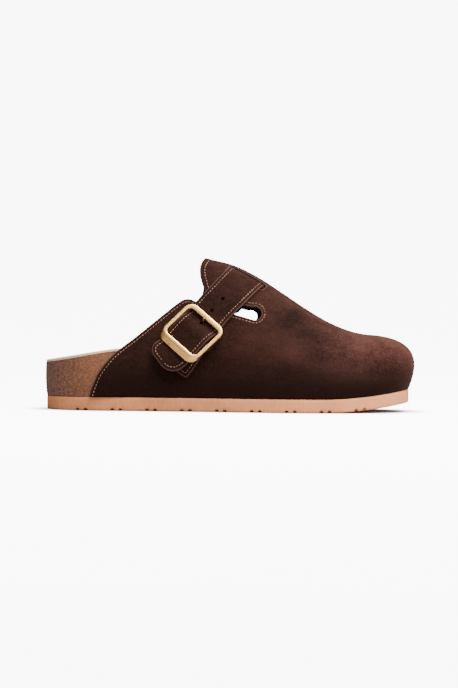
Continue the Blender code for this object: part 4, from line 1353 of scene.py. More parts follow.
@dataclass
class Sole:
    """Foam outsole, cork footbed and the lining that lies in it."""

    steps: int = 150
    across: int = 34
    edge: float = 0.0012
    tread_depth: float = 0.0016
    tread_width: float = 0.0034
    tread_pitch: float = 0.0260
    tread_pair: float = 0.0060
    tread_from: float = 0.0235
    tread_wave: float = 0.0028
    top_round: float = 0.0005
    lining: float = 0.0014
    lining_round: float = 0.0004
    cork_levels: int = 14
    cap_columns: int = 9
    floor_columns: int = 7
    edge_turns: tuple[float, ...] = tuple(math.radians(turn) for turn in (0, 22, 45, 67, 90))
    top_turns: tuple[float, ...] = tuple(math.radians(turn) for turn in (45, 90))
    side_levels: tuple[float, ...] = (0.35, 0.7, 1.0)
    groove: tuple[Pair, ...] = (
        (-0.50, 0.00), (-0.42, 0.35), (-0.33, 0.85), (-0.20, 1.00),
        (0.20, 1.00), (0.33, 0.85), (0.42, 0.35), (0.50, 0.00),
    )

    def rows(self) -> Array:
        """Distances from the heel, close together round the two ends."""
        return LAST.station(np.linspace(0.0, 1.0, self.steps + 1))[1]

    def tread_rows(self) -> tuple[Array, Array]:
        """Rows of the tread, with the corners of every groove among them.

        Returns:
            Distances from the heel, and the groove's depth at each.
        """
        pairs = int((LAST.sole_length - self.tread_from) / self.tread_pitch)
        grooved = {}
        for k in range(2 * pairs):
            middle = self.tread_from + (k // 2) * self.tread_pitch + (k % 2) * self.tread_pair
            for shift, depth in self.groove:
                grooved[middle + shift * self.tread_width] = depth * self.tread_depth
        placed = np.array(sorted(grooved))
        plain = [x for x in self.rows() if np.abs(placed - x).min() > self.tread_width / 2]
        stations = dict(grooved)
        stations.update((float(x), 0.0) for x in plain)
        ordered = sorted(stations)
        return np.array(ordered), np.array([stations[x] for x in ordered])

    def ring(self, side: Side, x: Array, inset: Array, z: Array) -> Array:
        """Points on the sole's outline, or inside it.

        Args:
            side: The side of the shoe.
            x: Distances from the heel.
            inset: How far inside the outline.
            z: Height.

        Returns:
            A point for each distance.
        """
        turn = LAST.turn_at(side.value, x)
        step = 0.002

        def spot(place: Array) -> Array:
            """Point of the outline at the outsole's underside."""
            sign, along = LAST.station(place)
            return points(along, LAST.outline_y(sign, along), 0.0)

        tangent = unit(spot(turn + step) - spot(turn - step))
        inward = points(-tangent[..., 1], tangent[..., 0], 0.0)
        return spot(turn) + inward * np.asarray(inset)[..., None] + points(0.0, 0.0, z)

    def outsole(self) -> None:
        """Builds the outsole with wavy grooves that run out at its rounded edge."""
        x, depth = self.tread_rows()
        under, top = LAST.spring(x) + depth, LAST.outsole_thickness + LAST.spring(x)
        inset = np.full_like(x, self.edge)
        outer, inner = (self.ring(side, x, inset, under) for side in Side)
        calm = np.minimum(np.minimum(x, LAST.sole_length - x), self.tread_pitch) / self.tread_pitch
        bottom = between(outer, inner, self.across * 2 + 1)
        waves = np.sin(4 * np.pi * np.linspace(0.0, 1.0, bottom.shape[1]))
        bottom[..., 0] += self.tread_wave * calm[:, None] * waves[None]
        foot, shoulder = under + self.edge, top - self.top_round
        levels = [(self.edge * (1 - math.sin(t)), foot - self.edge * math.cos(t)) for t in self.edge_turns]
        levels += [(0.0, foot + (shoulder - foot) * share) for share in self.side_levels]
        levels += [(self.top_round * (1 - math.cos(t)), shoulder + self.top_round * math.sin(t))
                   for t in self.top_turns]
        sheets = [lay_grid("outsole_bottom", bottom)]
        tops = []
        for side in Side:
            rings = [self.ring(side, x, np.full_like(x, back), height) for back, height in levels]
            tops.append(rings[-1])
            sheets.append(lay_grid("outsole_side", np.stack(rings, axis=1)))
        sheets.append(lay_grid("outsole_top", between(*tops, self.cap_columns)))
        item = close_shell(sheets, 38.0)
        hand_over(item, "outsole_foam_body", ["outsole"], [Foam()])

    def footbed(self) -> None:
        """Builds the cork bed with its heel cup."""
        x = self.rows()
        top = LAST.dish(x, self.across, 0.0)
        sheets = [lay_grid("cork_top", top)]
        feet = []
        for side, rim in ((Side.LATERAL, top[:, 0]), (Side.MEDIAL, top[:, -1])):
            sign = np.full_like(x, side.value)
            turn, high = LAST.turn_at(sign, x), LAST.rise_at(sign, x, rim[:, 2])
            shares = np.linspace(0.0, 1.0, self.cork_levels + 1)
            wall = np.stack([LAST.skin(turn, high * share) for share in shares], axis=1)
            wall[:, -1] = rim
            feet.append(wall[:, 0])
            sheets.append(lay_grid("cork_side", wall))
        sheets.append(lay_grid("cork_floor", between(*feet, self.floor_columns)))
        item = close_shell(sheets, 40.0)
        hand_over(item, "footbed_cork_body", ["footbed"], [Cork()])

    def insole(self) -> None:
        """Builds the lining, whose pale edge shows all round the cork's rim."""
        x = self.rows()
        low, high = (LAST.dish(x, self.across, lift) for lift in (LAST.gap, LAST.gap + self.lining))
        sheets = [lay_grid("lining_low", low), lay_grid("lining_high", high)]
        for column in (0, -1):
            sheets.append(lay_grid("lining_edge", np.stack([low[:, column], high[:, column]], axis=1)))
        item = join(sheets)
        weld(item)
        angle = math.radians(50)
        modify(item, "BEVEL", width=self.lining_round, segments=2, limit_method="ANGLE", angle_limit=angle)
        soften(item, 50.0)
        hand_over(item, "insole_lining_sheet", ["insole"], [Lining()])

    def build(self) -> None:
        """Builds all three layers."""
        self.outsole()
        self.footbed()
        self.insole()


@dataclass(frozen=True)
class Crease:
    """A soft trough or ridge in the upper, as a bar seen from the side."""

    x: float
    z: float
    turn: float
    length: float
    width: float
    height: float
    side: Side = Side.LATERAL
    fade: float = 0.02
    overlap: float = 0.4

    def lift(self, places: Array) -> Array:
        """How far the crease raises the leather.

        Args:
            places: Places on the upper.

        Returns:
            A height per place.
        """
        angle = math.radians(self.turn)
        dx, dz = places[..., 0] - self.x, places[..., 2] - self.z
        along = dx * math.cos(angle) + dz * math.sin(angle)
        over = dz * math.cos(angle) - dx * math.sin(angle)
        there = ease(places[..., 1] * self.side.value / self.fade + self.overlap)
        return self.height * there * np.exp(-((along / self.length) ** 2) - (over / self.width) ** 2)


@dataclass
class Stitching:
    """Rows of small sewn stitches laid on the leather."""

    pitch: float = 0.0026
    length: float = 0.0019
    width: float = 0.00052
    slant: float = 7.0
    sunk: float = 0.00006
    flatness: float = 1 / 1.2

    def stitch(self) -> Object:
        """One stitch at the origin, along X, modelled from a small sphere.

        Returns:
            The stitch.
        """
        deselect()
        bpy.ops.mesh.primitive_uv_sphere_add(segments=8, ring_count=6, radius=1.0)
        bpy.ops.object.mode_set(mode="EDIT")
        bpy.ops.mesh.select_all(action="SELECT")
        bpy.ops.transform.rotate(value=math.pi / 2, orient_axis="Y", center_override=(0, 0, 0))
        bpy.ops.transform.resize(value=(self.length / 2, self.width / 2, self.width * self.flatness / 2))
        bpy.ops.object.mode_set(mode="OBJECT")
        return bpy.context.object

    def lay(self, name: str, lines: Sequence[Line]) -> Object:
        """Copies the stitch along lines.

        Args:
            name: Name of the new object.
            lines: Pairs of points and normals.

        Returns:
            One object with all the stitches.
        """
        pattern = self.stitch()
        turn = math.radians(self.slant)
        work = bmesh.new()
        for line, normals in lines:
            run = run_along(line)

            def read(rows: Array, place: float) -> Array:
                """What three columns give at a distance along the line."""
                return np.array([np.interp(place, run, column) for column in rows.T])

            for k in range(int(run[-1] / self.pitch)):
                centre, ahead = (k + 0.5) * self.pitch, self.length / 3
                here, up = read(line, centre), unit(read(normals, centre))
                along = unit(read(line, centre + ahead) - read(line, centre - ahead))
                up = unit(up - along * dot(up, along))
                across = np.cross(up, along)
                forward = along * math.cos(turn) + across * math.sin(turn)
                sideways = across * math.cos(turn) - along * math.sin(turn)
                here = here + up * (self.width * self.flatness / 4 - self.sunk)
                columns = np.column_stack([forward, sideways, up, here])
                matrix = Matrix(np.vstack([columns, [0, 0, 0, 1]]).tolist())
                first = len(work.verts)
                work.from_mesh(pattern.data)
                work.verts.ensure_lookup_table()
                bmesh.ops.transform(work, matrix=matrix, verts=work.verts[first:])
        mesh = bpy.data.meshes.new(name)
        work.to_mesh(mesh)
        work.free()
        bpy.data.objects.remove(pattern)
        item = bpy.data.objects.new(name, mesh)
        bpy.context.scene.collection.objects.link(item)
        soften(item, 180.0)
        return item

    def sew(self, name: str, lines: Sequence[Line], thread: str) -> None:
        """Lays the stitches and hands them over as a piece of their own."""
        hand_over(self.lay(name, lines), name, [], [Thread(thread)])


STRAP_STITCHING = Stitching(pitch=0.0024, length=0.0017, width=0.00055)


@dataclass
class Upper:
    """Hollow suede upper with its opening, slot, keyhole and slit, and the stitches round them."""

    starts: float = 0.10
    columns: int = 150
    toe_columns: int = 46
    rows: int = 84
    keyhole_at: Pair = (0.5720, 0.640)
    keyhole_width: float = 0.0100
    keyhole_turn: float = 0.62 * math.pi
    seam_inset: float = 0.0024
    pole_reach: float = 0.00006
    edge_round: float = 0.00045
    inner_over: float = 0.022
    inner_top: float = 0.094
    inner_fade: float = 0.010
    tongue_inset: float = 0.0014
    tongue_low: float = 0.088
    tongue_front: float = 0.125
    tongue_fade: float = 0.006
    inside: tuple[Triple, ...] = ((0.020, 0.010, 0.007), (0.052, 0.028, 0.020))
    collar: tuple[Pair, ...] = (
        (0.120, -0.060), (0.121, 0.020), (0.129, 0.090), (0.148, 0.200), (0.186, 0.325), (0.248, 0.460),
        (0.311, 0.602), (0.361, 0.712), (0.378, 0.738), (0.397, 0.738), (0.422, 0.702),
    )
    tongue: tuple[Pair, ...] = (
        (0.4475, 0.756), (0.4370, 0.792), (0.4250, 0.862), (0.4190, 0.945), (0.4230, 1.010), (0.4370, 1.060),
    )
    creases: tuple[Crease, ...] = (
        Crease(0.184, 0.056, -38, 0.016, 0.0060, -0.0011),
        Crease(0.196, 0.047, -24, 0.020, 0.0050, 0.0008),
        Crease(0.206, 0.038, -14, 0.022, 0.0055, -0.0009),
        Crease(0.172, 0.044, -30, 0.018, 0.0060, 0.0006),
        Crease(0.221, 0.048, -20, 0.014, 0.0055, -0.0007),
        Crease(0.240, 0.036, 8, 0.018, 0.0070, -0.0006),
        Crease(0.150, 0.034, 4, 0.030, 0.0080, -0.0006),
        Crease(0.186, 0.052, -34, 0.018, 0.0060, -0.0010, Side.MEDIAL),
        Crease(0.203, 0.041, -18, 0.022, 0.0055, 0.0007, Side.MEDIAL),
        Crease(0.225, 0.044, -16, 0.016, 0.0060, -0.0007, Side.MEDIAL),
    )

    def opening(self) -> Array:
        """What is cut away, seen from the side: behind the collar, the slot, the keyhole, the tongue's end.

        Returns:
            Points of a ring.
        """
        collar = curve_through([LAST.side_point(*spot) for spot in self.collar])
        tongue = curve_through([LAST.side_point(*spot) for spot in self.tongue])
        turns = np.linspace(-self.keyhole_turn, self.keyhole_turn, 41)
        circle = np.stack([np.cos(turns), np.sin(turns)], axis=-1)
        keyhole = np.array(LAST.side_point(*self.keyhole_at)) + self.keyhole_width / 2 * circle
        high, back = 2 * LAST.instep_height, -LAST.sole_length / 4
        rest = np.array([(tongue[-1][0], high), (back, high), (back, collar[0][1])])
        return np.vstack([collar, keyhole, tongue, rest])

    def turns(self) -> Array:
        """Places round the outline, evenly along both sides and evenly round the toe.

        Returns:
            The places in order, from the outer side's back end to the inner one's.
        """
        start, pole = self.starts * LAST.sole_length, LAST.toe_pole * LAST.sole_length
        side = LAST.turn_at(-1, np.linspace(start, pole, self.columns))
        toe = np.linspace(side[-1], 1.0, self.toe_columns // 2)[1:]
        half = np.concatenate([side, toe])
        return np.concatenate([half, 2 - half[-2::-1]])

    def sheet(self) -> tuple[Object, Callable[[Array], Array]]:
        """Builds the outer face as a trimmed sheet.

        Returns:
            The sheet, and what gives the distance from its cut edge at places.
        """
        turns = self.turns()
        lift = LAST.gap + LAST.wall
        first = LAST.first_rise(turns, lift)
        rise = first[:, None] + (1 - first)[:, None] * np.linspace(0, 1, self.rows + 1)[None]
        wide = np.repeat(turns[:, None], self.rows + 1, axis=1)
        base = LAST.cover(wide, rise, np.full_like(wide, lift))
        raised = lift + sum(crease.lift(base) for crease in self.creases)
        item = lay_grid("upper_sheet", LAST.cover(wide, rise, raised))
        weld(item, self.pole_reach, False)
        ring = self.opening()
        closed = np.vstack([ring, ring[:1]])
        slit = STRAP.slit_distance

        def edge_distance(places: Array) -> Array:
            """Distance inside the cut edge, seen from the side.

            Args:
                places: Places on the upper.

            Returns:
                A distance per place, negative where the leather is cut away.
            """
            below = ease((self.inner_top - places[:, 2]) / self.inner_fade)
            inner = ease(places[:, 1] / self.inner_over) * below
            spots = places[:, [0, 2]] - np.array(LAST.inner_shift) * inner[:, None]
            return line_distance(spots, closed) * np.where(inside_polygon(spots, ring), -1.0, 1.0)

        trim(item, lambda places, _: np.minimum(edge_distance(places), slit(places)))
        return item, edge_distance

    def build(self) -> None:
        """Builds the upper and its stitches."""
        item, edge_distance = self.sheet()
        places = read_places(item.data)
        face_outward(item, UP, places[:, 2] > LAST.rim_height)
        distance = edge_distance(places)
        store(item.data, "edge", np.minimum(distance, STRAP.slit_distance(places)))
        high = ease((places[:, 2] - self.tongue_low) / self.tongue_fade)
        back = ease((self.tongue_front - places[:, 0]) / self.tongue_fade)
        lines = contours(item.data, distance - self.tongue_inset * high * back, self.seam_inset)
        thicken(item, LAST.wall, self.edge_round, True)
        finishes = [Suede("vamp_suede"), RawEdge("vamp_cut_edge"), Suede("vamp_inside", *self.inside)]
        hand_over(item, "upper_suede_shell", ["upper"], finishes)
        Stitching().sew("upper_seam_stitches", lines, "tan_thread")


@dataclass
class Strap:
    """Instep strap, its field of places over the upper, and its stitches."""

    width: float = 0.0285
    thickness: float = 0.0022
    hole: float = 0.0030
    hole_pitch: float = 0.0118
    tip: float = 0.0340
    back_round: float = 0.0070
    front_round: float = 0.0130
    edge_round: float = 0.0005
    prong_hole_at: float = 0.0101
    prong_hole_length: float = 0.0050
    free_holes: int = 2
    slit_width: float = 0.0090
    slot_width: float = 0.0050
    slot_shift: float = -0.0004
    inner_gap: float = 0.0008
    slit_margin: float = 0.0015
    slit_from_crest: float = 0.0135
    roll: float = math.radians(-1.5)
    straight_up: Pair = (0.0090, 0.0170)
    straight_down: Pair = (0.0170, 0.0300)
    line: tuple[Pair, ...] = (
        (0.3050, 0.225), (0.3635, 0.354), (0.4076, 0.470), (0.4550, 0.633), (0.5020, 0.771),
    )
    buckle_row: int = 2
    path_past: Pair = (0.02, 0.01)
    path_steps: int = 401
    crest_at: float = 0.5560
    slot_mouth: Pair = (0.4350, 0.734)
    keyhole: Pair = (0.5720, 0.640)
    ride: Curves = Curves(
        "lift",
        (
            (-0.0340, 0.0048), (-0.0240, 0.0054), (-0.0150, 0.0059), (-0.0050, 0.0067), (0.0000, 0.0070),
            (0.0040, 0.0062), (0.0080, 0.0040), (0.0115, 0.0019), (0.0150, 0.0006), (0.0200, 0.0003),
        ),
    )
    step: float = 0.00072
    seam_inset: float = 0.0028

    def __post_init__(self) -> None:
        """Traces the middle line over the last and measures it from the buckle."""
        spots = np.array([LAST.side_point(*spot) for spot in self.line])
        x, z = spots.T
        outer, inner = (LAST.rise_at(np.full_like(x, side.value), x, z) for side in Side)
        rows = [*zip(outer - 1, x), (0.0, self.crest_at * LAST.sole_length)]
        rows += [*zip(1 - inner, x)][:self.buckle_row - 1:-1]
        path = Curves("x", rows)
        first, last = rows[0][0] - self.path_past[0], rows[-1][0] + self.path_past[1]
        turned = np.linspace(first, last, self.path_steps)
        x = path.at("x", turned)
        far = run_along(LAST.on_last(x, turned))
        self.path_x, self.path_turned = x, turned
        self.far = far - far[np.abs(turned - rows[self.buckle_row][0]).argmin()]
        self.crest = float(self.far[np.abs(turned).argmin()])
        self.end = float(self.far[np.abs(turned - rows[-1][0]).argmin()])
        base, ahead, across, out = self.local(np.array([self.crest - self.slit_from_crest]))
        self.slit_frame = (base[0], ahead[0], across[0], out[0])

    def middle(self, far: Array) -> tuple[Array, Array]:
        """Place on the middle line, which runs straight on past its ends.

        Args:
            far: Distance from the buckle's middle.

        Returns:
            The place as x and turned.
        """
        i = np.clip(np.searchsorted(self.far, far) - 1, 0, len(self.far) - 2)
        share = (far - self.far[i]) / (self.far[i + 1] - self.far[i])
        x, turned = (path[i] + (path[i + 1] - path[i]) * share for path in (self.path_x, self.path_turned))
        return x, turned

    def local(self, far: Array) -> Quad:
        """Point on the middle line and the directions there.

        Args:
            far: Distance from the buckle's middle.

        Returns:
            Point, and the directions along, across and out.
        """
        base, out, _, _ = LAST.local_frame(*self.middle(far))
        ahead = LAST.on_last(*self.middle(far + 0.001)) - LAST.on_last(*self.middle(far - 0.001))
        ahead = unit(ahead - out * dot(ahead, out)[..., None])
        return base, ahead, np.cross(out, ahead), out

    def buckle_plane(self) -> Quad:
        """The flat plane that the buckle lies in: the wall's own, rolled a little about the strap.

        Returns:
            Its point, and its directions along, across and out.
        """
        base, ahead, across, out = (part[0] for part in self.local(np.array([0.0])))
        cos, sin = math.cos(self.roll), math.sin(self.roll)
        return base, ahead, across * cos + out * sin, out * cos - across * sin

    def place(self, far: Array, side: Array, height: Array, straight: Array | None = None) -> Array:
        """Points at a distance along, a distance across and a height above the last.

        Args:
            far: Distance along the strap from the buckle's middle.
            side: Distance across it.
            height: Height above the last.
            straight: From 0 to 1, how far the point keeps to the buckle's plane, where it isn't usual.

        Returns:
            Points.
        """
        base, _, across, _ = self.local(far)
        x, turned = LAST.nearest(base + side[..., None] * across, *self.middle(far))
        foot, lean, _, _ = LAST.local_frame(x, turned)
        near = np.where(far > 0, self.straight_up[0], self.straight_down[0])
        away = np.where(far > 0, self.straight_up[1], self.straight_down[1])
        follow = ease((np.abs(far) - near) / (away - near)) if straight is None else 1 - straight
        seat, ahead, level, up = self.buckle_plane()
        flat = seat + far[..., None] * ahead + side[..., None] * level + height[..., None] * up
        return flat + (foot + height[..., None] * lean - flat) * follow[..., None]

    def height(self, far: Array, side: Array) -> Array:
        """Height of the strap's middle: over the quarter, through the slit, out at the inner slot.

        Args:
            far: Distance along the strap from the buckle's middle.
            side: Distance across it.

        Returns:
            Height above the last.
        """
        outside = LAST.gap + LAST.wall + self.ride.at("lift", far) + self.thickness / 2
        inside = LAST.gap - self.inner_gap - self.thickness / 2
        slit = self.crest - self.slit_from_crest
        diving = ease((far - slit) / self.slit_width + 0.5)
        spot = self.place(far, side, (outside + inside) / 2)
        ends = (self.slot_mouth, self.keyhole)
        mouth, keyhole = (np.add(LAST.side_point(*end), LAST.inner_shift) for end in ends)
        run, fall = keyhole[0] - mouth[0], keyhole[1] - mouth[1]
        above = ((spot[..., 2] - mouth[1]) * run - (spot[..., 0] - mouth[0]) * fall) / math.hypot(run, fall)
        emerging = ease((above + self.slot_shift) / self.slot_width + 0.5)
        return outside + (inside - outside) * np.where(far < self.crest, diving, emerging)

    def slit_distance(self, places: Array) -> Array:
        """Distance from the slit's cut edge.

        Args:
            places: Places on the upper.

        Returns:
            A distance per place, negative in the slit.
        """
        base, ahead, across, out = self.slit_frame
        gap = places - base
        along = np.abs(gap @ ahead) - (self.slit_width + self.slit_margin) / 2
        wide = np.abs(gap @ across) - (self.width + 2 * self.slit_margin) / 2
        high = np.abs(gap @ out) - self.slit_width / 2
        return np.maximum(np.maximum(along, wide), high)

    def outline_distance(self, far: Array, side: Array) -> Array:
        """Distance inside the strap's outline, whose tip has a tight and a wide corner.

        Args:
            far: Distance along the strap from the buckle's middle.
            side: Distance across it.

        Returns:
            A distance per spot, negative outside.
        """
        half = self.width / 2
        distance = np.minimum(np.minimum(far + self.tip, self.end - far), half - np.abs(side))
        for sign, radius in ((-1, self.front_round), (1, self.back_round)):
            a, b = radius - (far + self.tip), sign * side - (half - radius)
            corner = (a > 0) & (b > 0)
            distance = np.where(corner, radius - np.hypot(a, b), distance)
        return distance

    def hole_distance(self, far: Array, side: Array) -> Array:
        """Distance outside the nearest of the strap's holes.

        Args:
            far: Distance along the strap from the buckle's middle.
            side: Distance across it.

        Returns:
            A distance per spot, negative in a hole.
        """
        distance = np.full_like(far, 1.0)
        for k in range(self.free_holes + 1):
            half = (self.prong_hole_length if k == 0 else self.hole) / 2 - self.hole / 2
            along = np.maximum(np.abs(far - self.prong_hole_at - k * self.hole_pitch) - half, 0.0)
            distance = np.minimum(distance, np.hypot(along, side) - self.hole / 2)
        return distance

    def build(self) -> None:
        """Builds the strap and its stitches."""
        count, wide = round((self.end + self.tip) / self.step), round(self.width / self.step)
        rows = np.linspace(-self.tip, self.end, count + 1)
        columns = np.linspace(-self.width / 2, self.width / 2, wide + 1)
        far, side = np.meshgrid(rows, columns, indexing="ij")
        item = lay_grid("strap_sheet", self.place(far, side, self.height(far, side)))

        def keep(_: Array, spots: Array) -> Array:
            """Distance inside the outline and outside the holes."""
            return np.minimum(self.outline_distance(*spots.T), self.hole_distance(*spots.T))

        marks = trim(item, keep, np.stack([far.ravel(), side.ravel()], axis=-1))
        distance = self.outline_distance(*marks.T)
        store(item.data, "edge", distance)
        face_outward(item, self.buckle_plane()[3], np.abs(marks[:, 0]) < self.straight_up[0])
        lines = contours(item.data, distance, self.seam_inset)
        lines = [(line + normals * self.thickness / 2, normals) for line, normals in lines]
        thicken(item, self.thickness, self.edge_round)
        finishes = [Suede("strap_suede_face"), RawEdge("strap_cut_edge")]
        hand_over(item, "instep_strap", ["strap"], finishes)
        STRAP_STITCHING.sew("strap_seam_stitches", lines, "strap_thread")


STRAP = Strap()


@dataclass
class Buckle:
    """Brass frame with its centre bar and prong, and the folded leather tab that holds it."""

    bar: float = 0.0038
    depth: float = 0.0034
    reach: float = 0.0345
    corner: float = 0.0072
    side_gap: float = 0.0008
    tilt: float = math.radians(9.0)
    rise: float = 0.0079
    centre_radius: float = 0.0010
    centre_drop: float = 0.0039
    ear_length: float = 0.0040
    ear_share: float = 0.8
    ear_overlap: float = 1.3
    ear_round: float = 0.0006
    prong_radius: float = 0.0007
    prong_rise: float = math.radians(58.0)
    prong_drop: float = 0.0005
    prong_ring: range = range(10, 271, 13)
    prong_foot: Pair = (0.2, 0.35)
    prong_head: Pair = (0.1, 0.25)
    prong_end: Pair = (1.0, 2.2)
    tab_length: float = 0.0290
    tab_layer: float = 0.0012
    tab_round: float = 0.0020
    tab_edge_round: float = 0.0003
    tab_back: float = 0.0100
    tab_slot: float = 0.0040
    tab_columns: int = 27
    tab_low_rows: int = 22
    tab_high_rows: int = 16
    tab_bend: range = range(-100, 111, 14)
    tab_fold: tuple[Triple, ...] = ((2.0, 0.62, 0.9), (3.2, 0.22, 0.5), (4.6, 0.04, 0.1), (6.0, 0.0, 0.0))
    tab_facing: float = 0.3
    seam_inset: float = 0.0026
    tab_turn: float = math.radians(14.0)
    tab_turn_over: float = 0.0080
    section_round: float = 0.00065
    section_steps: int = 5
    corner_steps: int = 10
    side_share: float = 0.76
    low_flare: float = 0.0030
    low_ledge: float = 0.0013
    side_shift: float = -0.0008
    painted_shade_rise: float = 2.2

    def point(self, along: Array, side: Array, depth: Array) -> Array:
        """Points in the buckle's own tilted frame.

        Args:
            along: Distance towards the crest from the frame's middle.
            side: Distance across the strap.
            depth: Height above the frame's middle plane.

        Returns:
            The points.
        """
        base, ahead, across, out = STRAP.buckle_plane()
        origin = base + (LAST.gap + LAST.wall + self.rise) * out
        lean, rise = math.sin(self.tilt), math.cos(self.tilt)
        along, side, depth = (np.asarray(part, float)[..., None] for part in (along, side, depth))
        forward, up = ahead * rise - out * lean, out * rise + ahead * lean
        return origin + along * forward + side * across + depth * up

    def half_wide(self) -> float:
        """From the frame's middle line to the middle of a side bar."""
        return STRAP.width / 2 + self.side_gap + self.bar / 2

    def frame_ring(self) -> Object:
        """Lays a ring primitive round a rounded rectangle, with its lower bar flared and its outer face
        marked for painted shade.

        Returns:
            The frame.
        """
        signs, turned = round_corners(self.section_steps)
        flat_part = np.array((self.bar, self.depth)) / 2 - self.section_round
        section = signs * flat_part + self.section_round * turned
        round_off = self.corner - self.bar / 2
        signs, outward = round_corners(self.corner_steps)
        path = signs * (np.array(((self.reach - self.bar) / 2, self.half_wide())) - round_off)
        deselect()
        bpy.ops.mesh.primitive_torus_add(major_segments=len(path), minor_segments=len(section))
        item = bpy.context.object
        low = np.clip(-outward[:, :1], 0.0, 1.0) ** 2
        beside = outward[:, 1:] ** 2
        wide = section[None, :, 0] * (1 + (self.side_share - 1) * beside)
        outer = section[None, :, 0] > 0
        depth = 0.5 - section[None, :, 1] / self.depth
        flare = low * (self.low_flare * depth - self.low_ledge * (1 - depth))
        reach = round_off + wide + np.where(outer, flare, 0.0)
        along, side = (path[:, None, k] + reach * outward[:, None, k] for k in range(2))
        up = np.repeat(section[None, :, 1], len(path), axis=0)
        write_places(item.data, self.point(along, side + self.side_shift, up).reshape(-1, 3))
        # Painted shade: the lower bar's outer face is marked, under the name worn, to take the darker brass.
        store(item.data, "worn", np.where(outer, low * ease(depth * self.painted_shade_rise), 0.0).ravel())
        return item

    def bar_and_ears(self) -> list[Object]:
        """The centre bar and the two ears that carry it under the side bars.

        Returns:
            The three objects.
        """
        half_wide = self.half_wide()
        made = []
        axes = [unit(self.point(*step) - self.point(0, 0, 0)) for step in np.eye(3)]
        ear = self.centre_drop + self.ear_overlap * self.centre_radius
        for side in (-1, 1):
            deselect()
            bpy.ops.mesh.primitive_cube_add(size=1)
            item = bpy.context.object
            middle = self.point(0.0, side * half_wide + self.side_shift, -ear / 2)
            size = (self.ear_length, self.bar * self.ear_share * self.side_share, ear)
            self.lay_box(item, middle, axes, size)
            modify(item, "BEVEL", width=self.ear_round, segments=3)
            made.append(item)
        deselect()
        bpy.ops.mesh.primitive_cylinder_add(vertices=20, radius=0.5, depth=1.0)
        item = bpy.context.object
        size = (2 * self.centre_radius, 2 * self.centre_radius, 2 * half_wide)
        middle = self.point(0.0, self.side_shift, -self.centre_drop)
        self.lay_box(item, middle, (axes[0], axes[2], axes[1]), size)
        made.append(item)
        return made

    def lay_box(self, item: Object, middle: Array, axes: Sequence[Array],
                size: Sequence[float]) -> None:
        """Places a unit primitive.

        Args:
            item: The primitive.
            middle: Point for its middle.
            axes: Directions for its own three axes.
            size: Its size along each of them.
        """
        local = read_places(item.data)
        placed = middle + sum(local[:, k:k + 1] * size[k] * axes[k][None] for k in range(3))
        write_places(item.data, placed)

    def centre(self) -> Pair:
        """The centre bar's distance along the strap and height above the upper."""
        return -self.centre_drop * math.sin(self.tilt), self.rise - self.centre_drop * math.cos(self.tilt)

    def prong(self) -> None:
        """Wire prong: a ring round the centre bar, a shank, and up through the strap's hole to the bar."""
        far, height = self.centre()
        bend = self.centre_radius + LAST.gap + self.prong_radius
        turns = np.radians(self.prong_ring)
        path = [(far + bend * math.cos(t), height + bend * math.sin(t)) for t in turns]
        low = path[-1][1]
        lift = float(STRAP.ride.at("lift", np.array(STRAP.prong_hole_at))) + STRAP.thickness / 2
        top_bar = self.rise - (self.reach - self.bar) / 2 * math.sin(self.tilt) + self.depth / 2
        tip = top_bar + 2 * LAST.gap + self.prong_radius
        climb, soft = math.tan(self.prong_rise), 1.2 * self.prong_radius
        cos, sin = math.cos(self.prong_rise), math.sin(self.prong_rise)
        foot = STRAP.prong_hole_at - (lift - self.prong_drop - low) / climb
        head = STRAP.prong_hole_at + (tip - lift + self.prong_drop) / climb
        path += [(far + 2 * bend, low), (foot - soft, low)]
        path += [(foot + self.prong_foot[0] * soft, low + self.prong_foot[1] * soft)]
        path += [(foot + soft * cos, low + soft * sin), (head - soft * cos, tip - soft * sin)]
        path += [(head - self.prong_head[0] * soft, tip - self.prong_head[1] * soft)]
        path += [(head + share * soft, tip) for share in self.prong_end]
        base, ahead, _, out = STRAP.buckle_plane()
        face = base + (LAST.gap + LAST.wall) * out
        spots = [face + a * ahead + h * out for a, h in path]
        deselect()
        bpy.ops.curve.primitive_bezier_curve_add()
        item = bpy.context.object
        wire = item.data
        wire.splines.clear()
        spline = wire.splines.new("POLY")
        spline.points.add(len(spots) - 1)
        for point, spot in zip(spline.points, spots):
            point.co = (*spot, 1.0)
        wire.dimensions, wire.bevel_depth, wire.bevel_resolution = "3D", self.prong_radius, 4
        wire.use_fill_caps = True
        activate(item)
        bpy.ops.object.convert(target="MESH")
        item = bpy.context.object
        weld(item)
        soften(item, 50.0)
        finish = Brass("prong_brass_wire", line_scale=(0.3, 0.3, 1.0))
        hand_over(item, "buckle_prong_wire", ["buckle_prong"], [finish])

